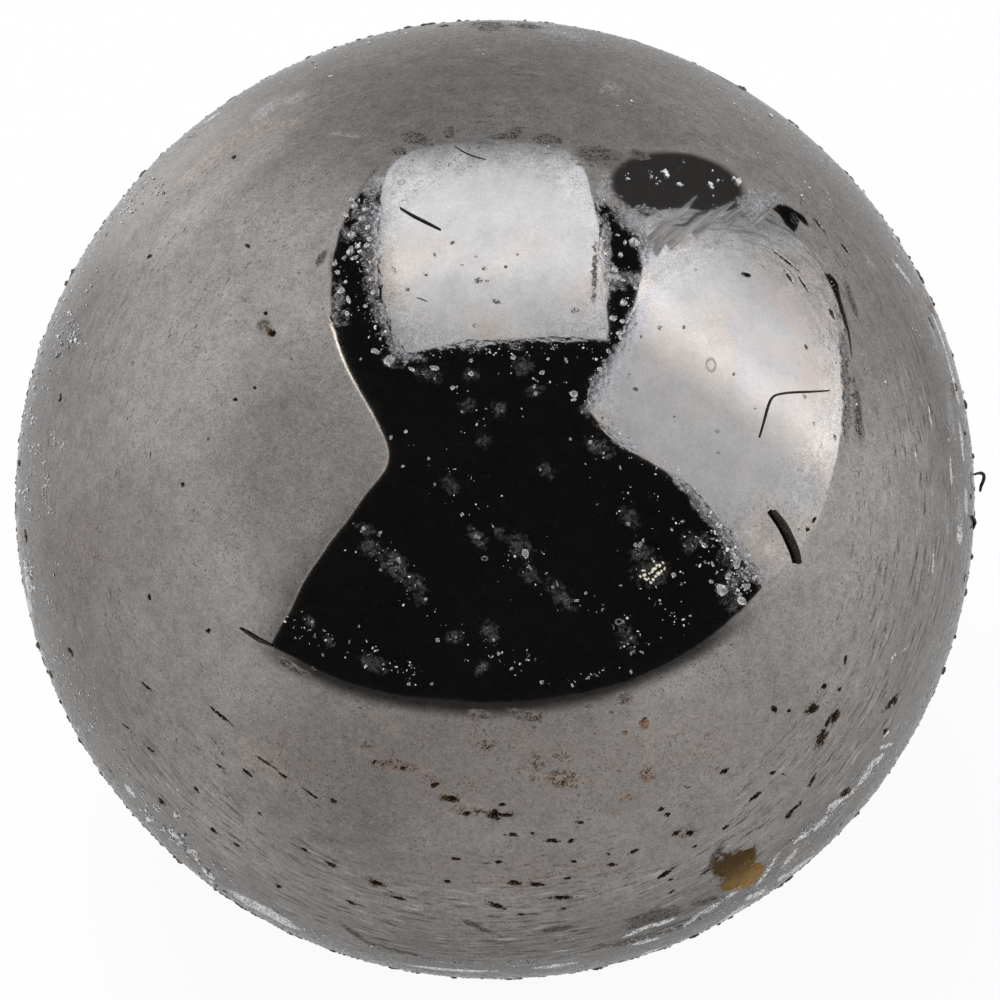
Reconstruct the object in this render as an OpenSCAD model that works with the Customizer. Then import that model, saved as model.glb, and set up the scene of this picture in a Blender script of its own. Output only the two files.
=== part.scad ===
// A loose steel bearing ball, a quarter of an inch across, worn and pitted by use.
// It was ground from one piece of steel, so it is one solid: a sphere, with the largest
// pits of its worn side cut into it. The origin is the centre of the ball, +Z is up, and
// the worn side faces the front, -Y. Lengths are in millimetres and angles in degrees.

/* [Ball] */
// Diameter of the ball
ball_d = 6.35; // [5:0.05:13]

/* [Pits] */
// Width across the mouth of a large pit
large_pit_w = 0.11; // [0.08:0.01:0.2]
// Depth of a large pit below the ball's surface
large_pit_depth = 0.03; // [0.02:0.005:0.04]
// Width across the mouth of a small pit
small_pit_w = 0.08; // [0.05:0.01:0.12]
// Depth of a small pit below the ball's surface
small_pit_depth = 0.022; // [0.015:0.001:0.025]

/* [Hidden] */

ball_r = ball_d / 2;
ball_facets = 192; // sides round a great circle of the ball, where it is drawn as a mesh
pit_facets = 32;

// Where the pits lie: degrees round from the front towards +X, then degrees above the equator
LARGE_PITS = [[41.7, 7.6], [39.4, 6.1], [38.8, 11.2], [5.1, -4.8], [-2.1, 10.8], [26.9, -9.9]];
SMALL_PITS = [[33.6, 14.8], [45.2, 14.1], [51.8, 1.2], [2.4, -1.6], [-0.5, -0.8], [20.8, 2],
              [17.5, -4.3], [29.4, 3.3], [-58.3, 60]];

// How far the ball's surface rises above the flat mouth of a pit, at the middle of the mouth
function mouth_rise(w) = ball_r - sqrt(pow(ball_r, 2) - pow(w / 2, 2));

// Radius of the round tool whose dent has this width at its mouth and this depth
function tool_r(w, depth) =
    let (below_mouth = depth - mouth_rise(w))
    (pow(w / 2, 2) + pow(below_mouth, 2)) / (2 * below_mouth);

// The round tool that cuts one pit, set against the ball at the pit's place
module pit_tool(place, w, depth) {
    rotate([0, 0, place[0]])
        rotate([-place[1], 0, 0])
            translate([0, -(ball_r - depth + tool_r(w, depth)), 0])
                sphere(r = tool_r(w, depth), $fn = pit_facets);
}

module ball() {
    color("dimgray")
        difference() {
            sphere(d = ball_d, $fn = ball_facets);
            for (place = LARGE_PITS) pit_tool(place, large_pit_w, large_pit_depth);
            for (place = SMALL_PITS) pit_tool(place, small_pit_w, small_pit_depth);
        }
}

ball();
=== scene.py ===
# %% [markdown]
# This file dresses a loose steel bearing ball, a quarter of an inch across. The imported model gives
# the true ball at its real size, in metres, with its centre at the origin. Blender adds what years
# in a workshop leave on it: fine wear, pits, haze, rust, lint and dust, and the studio in which a
# polished ball can be looked at.

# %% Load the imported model
import math
import random

import bpy
import numpy as np
from mathutils import Matrix, Vector, noise


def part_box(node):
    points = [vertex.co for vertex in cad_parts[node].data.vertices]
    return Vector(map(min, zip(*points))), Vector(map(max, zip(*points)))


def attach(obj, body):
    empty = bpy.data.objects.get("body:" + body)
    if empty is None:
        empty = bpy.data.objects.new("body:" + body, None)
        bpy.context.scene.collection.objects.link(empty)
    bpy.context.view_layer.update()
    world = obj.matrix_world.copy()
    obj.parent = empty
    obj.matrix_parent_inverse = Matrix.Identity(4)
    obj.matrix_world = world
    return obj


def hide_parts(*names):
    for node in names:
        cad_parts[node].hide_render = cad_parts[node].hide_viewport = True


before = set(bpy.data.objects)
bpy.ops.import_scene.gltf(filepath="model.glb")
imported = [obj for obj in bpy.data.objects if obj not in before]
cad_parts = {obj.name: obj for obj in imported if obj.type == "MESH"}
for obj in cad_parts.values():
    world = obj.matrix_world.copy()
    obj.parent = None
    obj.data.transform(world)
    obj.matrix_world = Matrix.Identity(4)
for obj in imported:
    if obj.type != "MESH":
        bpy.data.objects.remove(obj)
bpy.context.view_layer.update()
MM = 0.001
ball_low, ball_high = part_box("ball")
BALL_R = (ball_high.z - ball_low.z) / 2
print(f"ball: {2 * BALL_R / MM:.2f} mm across")

# %% [markdown]
# A polished ball is a round mirror, so the camera comes first: where a pit, a hair or a reflection
# lies on the ball is easiest to say as the camera sees it, so far across its face and so far up.
# Looking down steeply from a long way off keeps the outline a true circle, and a long lens fills
# the picture with it.

# %% Camera
CAMERA_LOOKS_DOWN = math.radians(50)
CAMERA_ROLL = math.radians(-3.3)
CAMERA_DISTANCE = 60 * MM
CAMERA_SHIFT = (0.0049, -0.0006)  # in widths of the picture
CAMERA_CLIP = (1 * MM, 1.0)
BALL_FILLS = 0.9588  # the ball's width, as a part of the picture's
SENSOR = 36.0


def made_by(operator, name, **settings):
    """The object that one of Blender's operators adds, under this name and selected alone."""
    bpy.ops.object.select_all(action="DESELECT")
    operator(**settings)
    bpy.context.object.name = name
    return bpy.context.object


toward = Vector((0, -math.cos(CAMERA_LOOKS_DOWN), math.sin(CAMERA_LOOKS_DOWN)))
level_right = Vector((1, 0, 0))
rise = Vector((0, math.sin(CAMERA_LOOKS_DOWN), math.cos(CAMERA_LOOKS_DOWN)))
right = level_right * math.cos(CAMERA_ROLL) + rise * math.sin(CAMERA_ROLL)
up = rise * math.cos(CAMERA_ROLL) - level_right * math.sin(CAMERA_ROLL)
RIM_SLOPE = math.tan(math.asin(BALL_R / CAMERA_DISTANCE))

camera = made_by(bpy.ops.object.camera_add, "studio_camera", location=toward * CAMERA_DISTANCE)
camera.rotation_euler = Matrix((right, up, toward)).transposed().to_euler()
camera.data.sensor_width = SENSOR
camera.data.lens = SENSOR / 2 * BALL_FILLS / RIM_SLOPE
camera.data.shift_x, camera.data.shift_y = CAMERA_SHIFT
camera.data.clip_start, camera.data.clip_end = CAMERA_CLIP
bpy.context.scene.camera = camera
print(f"lens: {camera.data.lens:.0f} mm")

# %% [markdown]
# Two helpers turn a place on the ball's face, in millimetres across and up as the camera sees it,
# into a point on its surface and into the direction that is mirrored there. The second one says
# where in the room a lamp or a card must stand to show at that place on the ball, which in a studio
# is found by moving it about.

# %% Places on the ball's face
def on_face(across, height):
    """The point of the ball's surface that the camera sees at this place, and the ray to it."""
    slope = RIM_SLOPE / BALL_R * MM
    ray = (right * (across * slope) + up * (height * slope) - toward).normalized()
    eye = toward * CAMERA_DISTANCE
    reach = -eye.dot(ray)
    inside = max(reach * reach - CAMERA_DISTANCE ** 2 + BALL_R ** 2, 0)
    return eye + ray * (reach - math.sqrt(inside)), ray


def mirrored(across, height):
    """The direction of the room that is mirrored at this place on the ball's face."""
    point, ray = on_face(across, height)
    return ray.reflect(point.normalized())


def as_seen(points):
    """Where the camera sees these points, in mm across and up, and how far towards it they are."""
    points = np.asarray(points)
    near = points @ np.array(toward)
    scale = BALL_R / MM / RIM_SLOPE / (CAMERA_DISTANCE - near)
    return points @ np.array(right) * scale, points @ np.array(up) * scale, near


def smooth_line(stretches, steps=6):
    """One closed line through stretches of points, with a corner where two stretches meet."""
    line = []
    for stretch in stretches:
        ends = [stretch[0]] + list(stretch) + [stretch[-1]]
        for a, b, c, d in zip(ends, ends[1:], ends[2:], ends[3:]):
            for step in range(steps):
                t = step / steps
                line.append([
                    0.5 * (2 * q + (r - p) * t + (2 * p - 5 * q + 4 * r - s) * t ** 2
                           + (3 * q - p - 3 * r + s) * t ** 3)
                    for p, q, r, s in zip(a, b, c, d)])
    return line


print("the middle of the face mirrors", tuple(round(part, 2) for part in mirrored(0, 0)))


# %% [markdown]
# Materials are sums of many small steps, so a wire from a node is made to work like a number: to
# multiply two wires adds a Multiply node and gives the wire that comes out of it.

# %% Node helpers
class Wire:
    """What one node passes on to others: a number, a colour or a place, for each shaded point."""

    def __init__(self, socket):
        self.socket, self.tree = socket, socket.id_data

    def maths(self, what, *others):
        """The result of one Math node."""
        return wire(self.tree, "Math", {"operation": what}, **numbered(self, *others))

    def __add__(self, other):
        return self.maths("ADD", other)

    def __sub__(self, other):
        return self.maths("SUBTRACT", other)

    def __mul__(self, other):
        return self.maths("MULTIPLY", other)

    def most(self, other):
        """The larger of the two."""
        return self.maths("MAXIMUM", other)

    def spread(self, at_none, at_full):
        """The first value where this wire carries 0, the second one where it carries 1."""
        return self.maths("MULTIPLY_ADD", at_full - at_none, at_none)

    def between(self, start, end):
        """0 at the start, 1 at the end and smooth between; the start may be the larger value."""
        smooth = {"interpolation_type": "SMOOTHSTEP"}
        return wire(self.tree, "MapRange", smooth, Value=self, From_Min=start, From_Max=end)

    def along(self, direction):
        """How far a place lies in this direction."""
        return vectors("DOT_PRODUCT", self, direction)

    def noise(self, scale, detail):
        """Random puffs, this many to the unit."""
        return wire(self.tree, "TexNoise", Vector=self, Scale=scale, Detail=detail)


def numbered(*values):
    """These values for a node's first sockets, in their order."""
    return {f"i{index}": value for index, value in enumerate(values)}


def fill(made, **sockets):
    """Give a node's sockets, by their names or as i0, i1 and so on, values or wires to follow."""
    for key, value in sockets.items():
        by_number = key[0] == "i" and key[1:].isdigit()
        socket = made.inputs[int(key[1:]) if by_number else key.replace("_", " ")]
        if isinstance(value, Wire):
            value.tree.links.new(value.socket, socket)
        else:
            socket.default_value = value


def wire(tree, kind, settings=None, output=0, **sockets):
    """Add a node of this kind and give the wire from one of its outputs."""
    made = tree.nodes.new("ShaderNode" + kind)
    for key, value in (settings or {}).items():
        setattr(made, key, value)
    fill(made, **sockets)
    return Wire(made.outputs[output]) if made.outputs else None


def vectors(what, *values):
    """The result of one Vector Math node."""
    tree = next(value.tree for value in values if isinstance(value, Wire))
    if what == "SCALE":
        return wire(tree, "VectorMath", {"operation": what}, i0=values[0], Scale=values[1])
    output = "Value" if what in ("DOT_PRODUCT", "LENGTH") else "Vector"
    return wire(tree, "VectorMath", {"operation": what}, output, **numbered(*values))


def over(under, amount, top):
    """One colour laid over another, by this amount."""
    under, top = (colour if isinstance(colour, Wire) else (*colour, 1) for colour in (under, top))
    return wire(amount.tree, "Mix", {"data_type": "RGBA"}, 2, i0=amount, i6=under, i7=top)


def cloud(place, size, detail=2.0):
    """Soft random clouds whose puffs are about this far apart, in metres."""
    return place.noise(1 / size, detail)


def rough_skin(height, distance):
    """The normals of a skin with this relief, in metres."""
    return wire(height.tree, "Bump", Height=height, Strength=1.0, Distance=distance)


def new_material(name, shaded=True):
    """A material and its tree, with one Principled shader or with nothing in it."""
    material = bpy.data.materials.new(name)
    material.use_nodes = True
    if not shaded:
        material.cycles.emission_sampling = "NONE"
        material.node_tree.nodes.clear()
    return material, material.node_tree


def speckled(name, size, edges, colours, bump, detail=2.0, **sockets):
    """A material with two colours in specks of this size and with bumps this high, both in mm."""
    material, tree = new_material(name)
    specks = cloud(wire(tree, "TexCoord", output="Object"), size * MM, detail)
    shader = tree.nodes["Principled BSDF"]
    fill(shader, Base_Color=over(colours[0], specks.between(*edges), colours[1]), **sockets)
    if bump:
        fill(shader, Normal=rough_skin(specks, bump * MM))
    return material


# %% [markdown]
# The room round the ball is plain white. To the steel it is less even, as a real room is: the floor
# in front lies in the shade of the ball, the far wall is darker, and the near left corner is too.
# Each tone is a soft round patch, given by its compass direction from the front, its height above
# the horizon, how far it reaches and how bright it is. Only mirrored rays see the patches, so the
# light on dust and lint stays plain.

# %% White room
ROOM_TONES = [  # azimuth, elevation, reach in degrees, level
    (0, -90, 88, 0.84), (-10, -10, 50, 0.63), (60, -20, 42, 0.84), (-82, -12, 30, 0.84),
    (178, 22, 44, 0.6), (-62, 40, 38, 0.74), (-126, 24, 42, 1.22), (75, -3, 25, 1.2),
    (180, -50, 44, 0.5), (125, -10, 34, 0.84), (0, -30, 30, 1.12), (-150, -3, 18, 1.4),
    (-50, -20, 30, 0.9), (-110, -18, 30, 0.95), (-150, -16, 14, 1.25), (68, -44, 30, 1.12),
    (-58, -45, 28, 1.12), (-12, -52, 28, 1.1), (160, -2, 9, 1.1), (168, -14, 12, 0.86),
    (118, -26, 18, 0.94), (106, -34, 18, 0.93), (100, -11, 16, 1.14), (-11, -28, 16, 1.1),
]
SKY_LEVEL = 0.55  # of the white room, as dust and lint are lit by it
CARD_SHADE = 0.12  # of the room in front, just below the horizon, where the black card stands
WHITE = (1, 1, 1, 1)


def room_tone(direction):
    """How bright the steel sees the room in this direction."""
    tone = 1.0
    for azimuth, elevation, reach, strength in ROOM_TONES:
        a, e = math.radians(azimuth), math.radians(elevation)
        aim = (math.sin(a) * math.cos(e), -math.cos(a) * math.cos(e), math.sin(e))
        patch = direction.along(aim).between(math.cos(math.radians(reach)), 1.0)
        tone = patch.spread(1.0, strength) * tone
    in_front = direction.along((0, 1, 0)).between(-0.45, -0.75)
    near_card = direction.along((0, 0, 1)).between(-0.050, -0.004) * in_front
    return tone * near_card.spread(1.0, CARD_SHADE)


def ray_is(tree, kind):
    """1 for rays of this kind, 0 for others."""
    return wire(tree, "LightPath", output=f"Is {kind} Ray")


world = bpy.context.scene.world or bpy.data.worlds.new("room")
bpy.context.scene.world = world
world.use_nodes = True
world.cycles.sampling_method = "NONE"
tree = world.node_tree
tree.nodes.clear()
tone = room_tone(wire(tree, "TexCoord", output="Generated"))
level = ray_is(tree, "Glossy") * (tone - 1.0) + ray_is(tree, "Diffuse").spread(1.0, SKY_LEVEL)
wire(tree, "OutputWorld", Surface=wire(tree, "Background", Color=WHITE, Strength=level))

KEY_PLACE = Vector((-50, 60, 300)) * MM  # high over the ball and a little behind it
KEY_SIZE = 120 * MM
KEY_WATTS = 0.46
key = made_by(bpy.ops.object.light_add, "key_light", type="AREA", location=KEY_PLACE)
key.rotation_euler = KEY_PLACE.to_track_quat("Z", "Y").to_euler()
key.data.size = KEY_SIZE
key.data.energy = KEY_WATTS
key.visible_glossy = False
print(f"room: {len(ROOM_TONES)} tones")

# %% Pale floor
FLOOR_R = 400 * MM
WHITE_SHARE = 0.94  # of the floor's white that is its own; the rest is light that the ball can shade
PAPER = (0.95, 0.95, 0.95, 1)
FOOT_SHADE = 0.70  # how bright the floor is under the ball, as the steel sees it
FOOT_FROM, FOOT_TO = 0.80 * BALL_R, 1.50 * BALL_R  # where that shade starts to fade and where it ends
floor = made_by(bpy.ops.mesh.primitive_circle_add, "floor", vertices=128, radius=FLOOR_R,
                fill_type="NGON", location=(0, 0, -BALL_R))
bpy.ops.object.transform_apply(location=True)
paper, tree = new_material("floor_paper", shaded=False)
shown = ray_is(tree, "Camera").most(ray_is(tree, "Glossy")).most(ray_is(tree, "Transmission"))
place = wire(tree, "NewGeometry", output="Position")
from_foot = vectors("LENGTH", vectors("MULTIPLY", place, (1, 1, 0)))
foot_shade = from_foot.between(FOOT_FROM, FOOT_TO).spread(FOOT_SHADE, 1.0)
tone = room_tone(vectors("NORMALIZE", place)) * foot_shade
level = ray_is(tree, "Glossy") * (tone - 1.0) + 1.0
lit = wire(tree, "BsdfDiffuse", Color=PAPER)
white = wire(tree, "Emission", Color=WHITE, Strength=level)
wire(tree, "OutputMaterial", Surface=wire(tree, "MixShader", i0=shown * WHITE_SHARE, i1=lit, i2=white))
floor.data.materials.append(paper)
print(f"floor: {2 * FLOOR_R / MM:.0f} mm across")

# %% [markdown]
# A ball in an all-white room looks flat, so a black card stands in front of it, where the ball
# mirrors it in the middle of its face, a dark grey one hangs high on the right, and two soft lights
# stand over the ball and to its right. A card is drawn as it shows on the ball's face, and then
# each of its points is sent out along the mirrored direction, so it lands in the room just where
# the ball will show that outline.


# %% Card that fills a place on the ball
def card(name, stretches, distance, material):
    """A card that fills this outline, in mm on the ball's face, where the ball mirrors it."""
    outline = smooth_line(stretches)
    made = made_by(bpy.ops.mesh.primitive_circle_add, name, vertices=len(outline), fill_type="NGON")
    for vertex, (across, height) in zip(made.data.vertices, outline):
        vertex.co = (across, height, 0)
    bpy.ops.object.mode_set(mode="EDIT")
    bpy.ops.mesh.select_all(action="SELECT")
    bpy.ops.mesh.quads_convert_to_tris(ngon_method="BEAUTY")
    bpy.ops.mesh.subdivide(number_cuts=7)
    bpy.ops.object.mode_set(mode="OBJECT")
    places = made.data.attributes.new("face", "FLOAT_VECTOR", "POINT")
    for vertex, place in zip(made.data.vertices, places.data):
        place.vector = vertex.co
        vertex.co = mirrored(vertex.co.x, vertex.co.y) * distance
    made.data.materials.append(material)
    made.visible_camera = made.visible_diffuse = made.visible_shadow = False


# %% What a card is made of
def glowing(name, level, colour=WHITE, clear=None):
    """A card's material: plain light of this level, see-through where clear is given."""
    material, tree = new_material(name, shaded=False)
    where = wire(tree, "Attribute", {"attribute_name": "face"}, "Vector")
    colour, level = (value(where) if callable(value) else value for value in (colour, level))
    surface = wire(tree, "Emission", Color=colour, Strength=level)
    if clear:
        surface = wire(tree, "MixShader", i0=clear(where), i1=surface, i2=wire(tree, "BsdfTransparent"))
    wire(tree, "OutputMaterial", Surface=surface)
    return material


TOP_STOP = 3.0  # the highest level that a stop can have


def fall(value, low, high, stops):
    """A level that changes along a card, as its stops say: place from 0 to 1, level there."""
    steady = wire(value.tree, "MapRange", Value=value, From_Min=low, From_Max=high)
    level = wire(value.tree, "ValToRGB", Fac=steady)
    ramp = level.socket.node.color_ramp
    ramp.interpolation = "B_SPLINE"
    while len(ramp.elements) < len(stops):
        ramp.elements.new(0.5)
    for element, (place, strength) in zip(ramp.elements, stops):
        element.position = place
        element.color = (*[strength / TOP_STOP] * 3, 1)
    return level * TOP_STOP


# %% Black card with its edge
BLACK, DARK_GREY, CRACK_GREY = 0.018, 0.10, 0.25
CARD_AWAY, EDGE_AWAY, OVAL_AWAY, CRACK_AWAY = 300 * MM, 310 * MM, 290 * MM, 235 * MM
LIGHT_AWAY, STRAND_AWAY = 250 * MM, 240 * MM
EDGE_COLOUR = (1.0, 0.93, 0.86, 1)
EDGE_SHINE = 1.6
EDGE_STOPS = [(0.0, 0.6), (0.50, 0.9), (0.62, 1.5), (0.67, 3.0), (0.79, 3.0), (0.82, 0.6), (1.0, 0.5)]


def edge_level(where):
    """The card's cut edge catches the light, most of all a little above its waist."""
    return fall(where.along((0, 1, 0)), -1.0, 1.7, EDGE_STOPS) * EDGE_SHINE


black = glowing("black_card", BLACK)
card("black_card", [
    [(-0.79, 2.12), (-0.86, 2.05), (-0.9, 2.01), (-0.96, 1.92), (-1.02, 1.78), (-1.06, 1.62),
     (-1.08, 1.45), (-1.08, 1.29), (-1.07, 1.15), (-1.01, 0.96), (-0.94, 0.8), (-0.82, 0.59),
     (-0.73, 0.41), (-0.7, 0.3)],
    [(-0.7, 0.3), (-0.73, 0.19), (-0.88, 0), (-0.99, -0.15), (-1.23, -0.49), (-1.34, -0.7),
     (-1.48, -0.96)],
    [(-1.48, -0.96), (-1.29, -1.06), (-1.09, -1.16), (-0.89, -1.23), (-0.63, -1.29), (-0.3, -1.32),
     (0.03, -1.33), (0.36, -1.31), (0.7, -1.24), (0.96, -1.16), (1.22, -1.03), (1.46, -0.87),
     (1.66, -0.7), (1.76, -0.58)],
    [(1.76, -0.58), (1.72, -0.49), (1.64, -0.38), (1.56, -0.28), (1.5, -0.19), (1.44, -0.11),
     (1.36, -0.04)],
    [(1.36, -0.04), (1.3, 0.5), (1.25, 1.2), (1.15, 1.6), (1.02, 1.78)],
    [(1.02, 1.78), (0.88, 1.86), (0.76, 1.93), (0.68, 1.98)],
    [(0.68, 1.98), (0.4, 1.6), (-0.2, 1.6), (-0.6, 1.8), (-0.79, 2.12)],
], CARD_AWAY, black)
card("black_edge", [
    [(1.83, 1.915), (1.88, 1.945), (1.93, 1.94), (1.99, 1.905), (2.04, 1.865), (2.075, 1.8)],
    [(2.075, 1.8), (2.045, 1.815), (2.01, 1.85)],
    [(2.01, 1.85), (1.995, 1.79), (1.965, 1.755)],
    [(1.965, 1.755), (1.93, 1.785), (1.9, 1.845), (1.87, 1.885), (1.83, 1.915)],
], CARD_AWAY, black)
card("card_edge", [
    [(-1.09, 1.62), (-1.096, 1.45), (-1.096, 1.29), (-1.085, 1.15), (-1.022, 0.96), (-0.95, 0.8),
     (-0.832, 0.59), (-0.742, 0.41), (-0.709, 0.3)],
    [(-0.709, 0.3), (-0.739, 0.19), (-0.886, 0), (-0.997, -0.15), (-1.237, -0.49), (-1.347, -0.7),
     (-1.48, -0.95)],
    [(-1.48, -0.94), (-1.33, -0.69), (-1.22, -0.48), (-0.98, -0.14), (-0.87, 0.01), (-0.722, 0.2),
     (-0.69, 0.3)],
    [(-0.69, 0.3), (-0.73, 0.42), (-0.82, 0.6), (-0.941, 0.81), (-1.012, 0.97), (-1.072, 1.16),
     (-1.082, 1.29), (-1.082, 1.45), (-1.06, 1.62), (-1.09, 1.62)],
], EDGE_AWAY, glowing("card_edge", edge_level, EDGE_COLOUR))
card("black_sliver", [
    [(2.166, 1.493), (2.212, 1.488), (2.258, 1.425), (2.28, 1.32), (2.318, 1.201), (2.352, 1.069),
     (2.362, 0.9)],
    [(2.362, 0.9), (2.325, 1.11), (2.275, 1.24), (2.228, 1.36), (2.19, 1.446), (2.166, 1.493)],
], CARD_AWAY, black)
card("black_crack", [
    [(1.478, 1.945), (1.405, 1.89), (1.33, 1.862), (1.255, 1.8), (1.15, 1.8)],
    [(1.15, 1.8), (1.25, 1.822), (1.325, 1.888), (1.4, 1.908), (1.478, 1.945)],
], CRACK_AWAY, glowing("black_crack", CRACK_GREY))
print("black card with its edge, two slivers and a crack")

# %% Dark card high on the right
OVAL_MIDDLE = (1.20, 2.055)
OVAL_HALF = (0.47, 0.25)
OVAL_TURN = math.radians(7)


def oval_clear(where):
    """0 inside the oval, 1 outside it, and soft at its edge."""
    aside = vectors("SUBTRACT", where, (*OVAL_MIDDLE, 0))
    turned = wire(where.tree, "VectorRotate", {"rotation_type": "Z_AXIS"}, Vector=aside, Angle=OVAL_TURN)
    return vectors("LENGTH", vectors("DIVIDE", turned, (*OVAL_HALF, 1))).between(0.86, 1.02)


card("dark_oval", [
    [(0.7, 2.08), (0.8, 2.3), (1.2, 2.38), (1.6, 2.3), (1.72, 2.05), (1.6, 1.86), (1.2, 1.8),
     (0.8, 1.86), (0.7, 2.08)],
], OVAL_AWAY, glowing("dark_oval", DARK_GREY, clear=oval_clear))
print(f"dark card: shows {2 * OVAL_HALF[0]:.2f} mm wide on the ball")

# %% Soft lights
TOP_STOPS = [(0.0, 1.4), (0.14, 1.75), (0.30, 2.2), (0.40, 2.75), (0.50, 2.45), (0.66, 2.65),
             (0.80, 2.3), (0.89, 1.60), (0.95, 0.85), (1.0, 0.52)]
SIDE_STOPS = [(0.0, 1.0), (0.12, 1.36), (0.38, 1.42), (0.47, 2.25), (0.53, 3.0), (0.60, 2.3),
              (0.70, 2.25), (0.80, 1.60), (0.90, 1.35), (1.0, 1.15)]
STROKES_ROUND = (1.50, 1.00)  # the strokes on the side light's cloth run in circles round here
STROKES_IN_ONE_MM = 62.0


def frosted(where, level):
    """A light's level, clouded a little as by the cloth in front of it."""
    return level * where.noise(5.0, 4.0).spread(0.86, 1.14)


def top_level(where):
    """Bright in its middle, dimmer at its lower edge and its left, with a wavy top that fades."""
    height = where.noise(9.0, 4.0) * 0.16 + where.along((0, 1, 0))
    level = fall(height, 1.08, 2.48, TOP_STOPS)
    return frosted(where, level * where.along((1, 0.12, 0)).between(-0.60, -0.38).spread(0.65, 1.0))


def side_level(where):
    """A bright band slants across its middle, both its ends fade, and strokes show near its rim."""
    height = where.along((0, 1, 0))
    level = fall(where.along((0.61, 0.79, 0)), 0.6, 2.6, SIDE_STOPS)
    aside = vectors("SUBTRACT", where, (*STROKES_ROUND, 0))
    reach = vectors("LENGTH", aside)
    outward = wire(where.tree, "CombineXYZ", Z=reach * STROKES_IN_ONE_MM)
    circles = vectors("MULTIPLY_ADD", vectors("NORMALIZE", aside), (4, 4, 4), outward)
    outer = reach.between(0.45, 0.90) * height.between(0.55, 1.20)
    strokes = circles.noise(1.0, 3.0).between(0.50, 0.60) * outer
    level = level * strokes.spread(1.06, 0.56) * height.between(1.66, 1.92).spread(1.0, 0.58)
    return frosted(where, level)


def soft_tint(where):
    """A cool white with warmer patches."""
    warm = where.noise(1.6, 2.0).between(0.42, 0.62) * where.along((0, 1, 0)).between(1.9, 1.6)
    return over((0.93, 0.97, 1.03), warm, (1.0, 0.975, 0.955))


card("top_light", [
    [(-0.62, 0.94), (-0.43, 0.99), (-0.17, 1.03), (0.1, 1.05), (0.36, 1.06), (0.74, 1.05)],
    [(0.74, 1.05), (0.74, 1.25), (0.73, 1.45), (0.71, 1.62), (0.68, 1.82), (0.63, 2.02), (0.58, 2.18),
     (0.51, 2.27), (0.4, 2.32), (0.17, 2.35), (-0.07, 2.37), (-0.3, 2.35), (-0.5, 2.31), (-0.63, 2.25),
     (-0.72, 2.13), (-0.76, 1.95), (-0.78, 1.75), (-0.78, 1.55), (-0.75, 1.35), (-0.7, 1.13),
     (-0.62, 0.94)],
], LIGHT_AWAY, glowing("top_light", top_level, soft_tint))
card("side_light", [
    [(0.62, 0.58), (0.64, 0.66), (0.75, 0.88), (0.84, 1.04), (0.9, 1.2), (0.94, 1.37), (0.97, 1.52),
     (0.99, 1.65), (0.97, 1.77), (1, 1.86), (1.11, 1.91), (1.25, 1.92), (1.4, 1.9), (1.52, 1.9),
     (1.66, 1.92), (1.81, 1.88), (1.94, 1.79), (2.06, 1.66), (2.17, 1.49), (2.24, 1.35), (2.29, 1.2),
     (2.32, 1.02), (2.32, 0.86), (2.32, 0.68), (2.29, 0.49), (2.26, 0.33), (2.22, 0.16), (2.18, 0),
     (2.1, -0.2), (1.95, -0.4), (1.76, -0.58)],
    [(1.76, -0.58), (1.72, -0.49), (1.64, -0.38), (1.56, -0.28), (1.44, -0.11), (1.3, 0.05),
     (1.13, 0.18), (0.96, 0.28), (0.79, 0.39), (0.62, 0.58)],
], LIGHT_AWAY, glowing("side_light", side_level, soft_tint))
print("two soft lights")

# %% Frayed top of the side light
FRAYED = [  # foot and tip of each frayed strand in mm on the ball's face, and how wide it is at its foot
    ((1, 1.66), (1.335, 2.01), 0.1), ((1.12, 1.7), (1.475, 1.945), 0.075),
    ((1.28, 1.78), (1.6, 1.98), 0.085), ((1.5, 1.84), (1.72, 1.985), 0.07),
    ((1.66, 1.86), (1.88, 2.045), 0.13), ((0.86, 1.86), (1.03, 1.7), 0.06),
]


def fibres(where):
    """Light cloth with fine darker threads that run along the strands."""
    along_strand, across_strand = where.along((0.8, 0.6, 0)), where.along((-0.6, 0.8, 0))
    weave = wire(where.tree, "CombineXYZ", X=along_strand * 4.0, Y=across_strand * 60.0)
    return weave.noise(1.0, 2.0).between(0.35, 0.65).spread(0.60, 1.30)


frayed_cloth = glowing("frayed_cloth", fibres, soft_tint)
for index, (foot, tip, wide) in enumerate(FRAYED):
    foot, tip = Vector(foot), Vector(tip)
    aside = (tip - foot).orthogonal().normalized() * wide
    sag = foot.lerp(tip, 0.6) - aside * 0.35
    lip = foot.lerp(tip, 0.55) + aside * 0.25
    near, far = foot - aside, foot + aside * 0.6
    outline = [[near, sag, tip], [tip, lip, far], [far, near]]
    card(f"frayed_strand_{index + 1}", outline, STRAND_AWAY, frayed_cloth)
print(f"frayed edge: {len(FRAYED)} strands")
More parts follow.
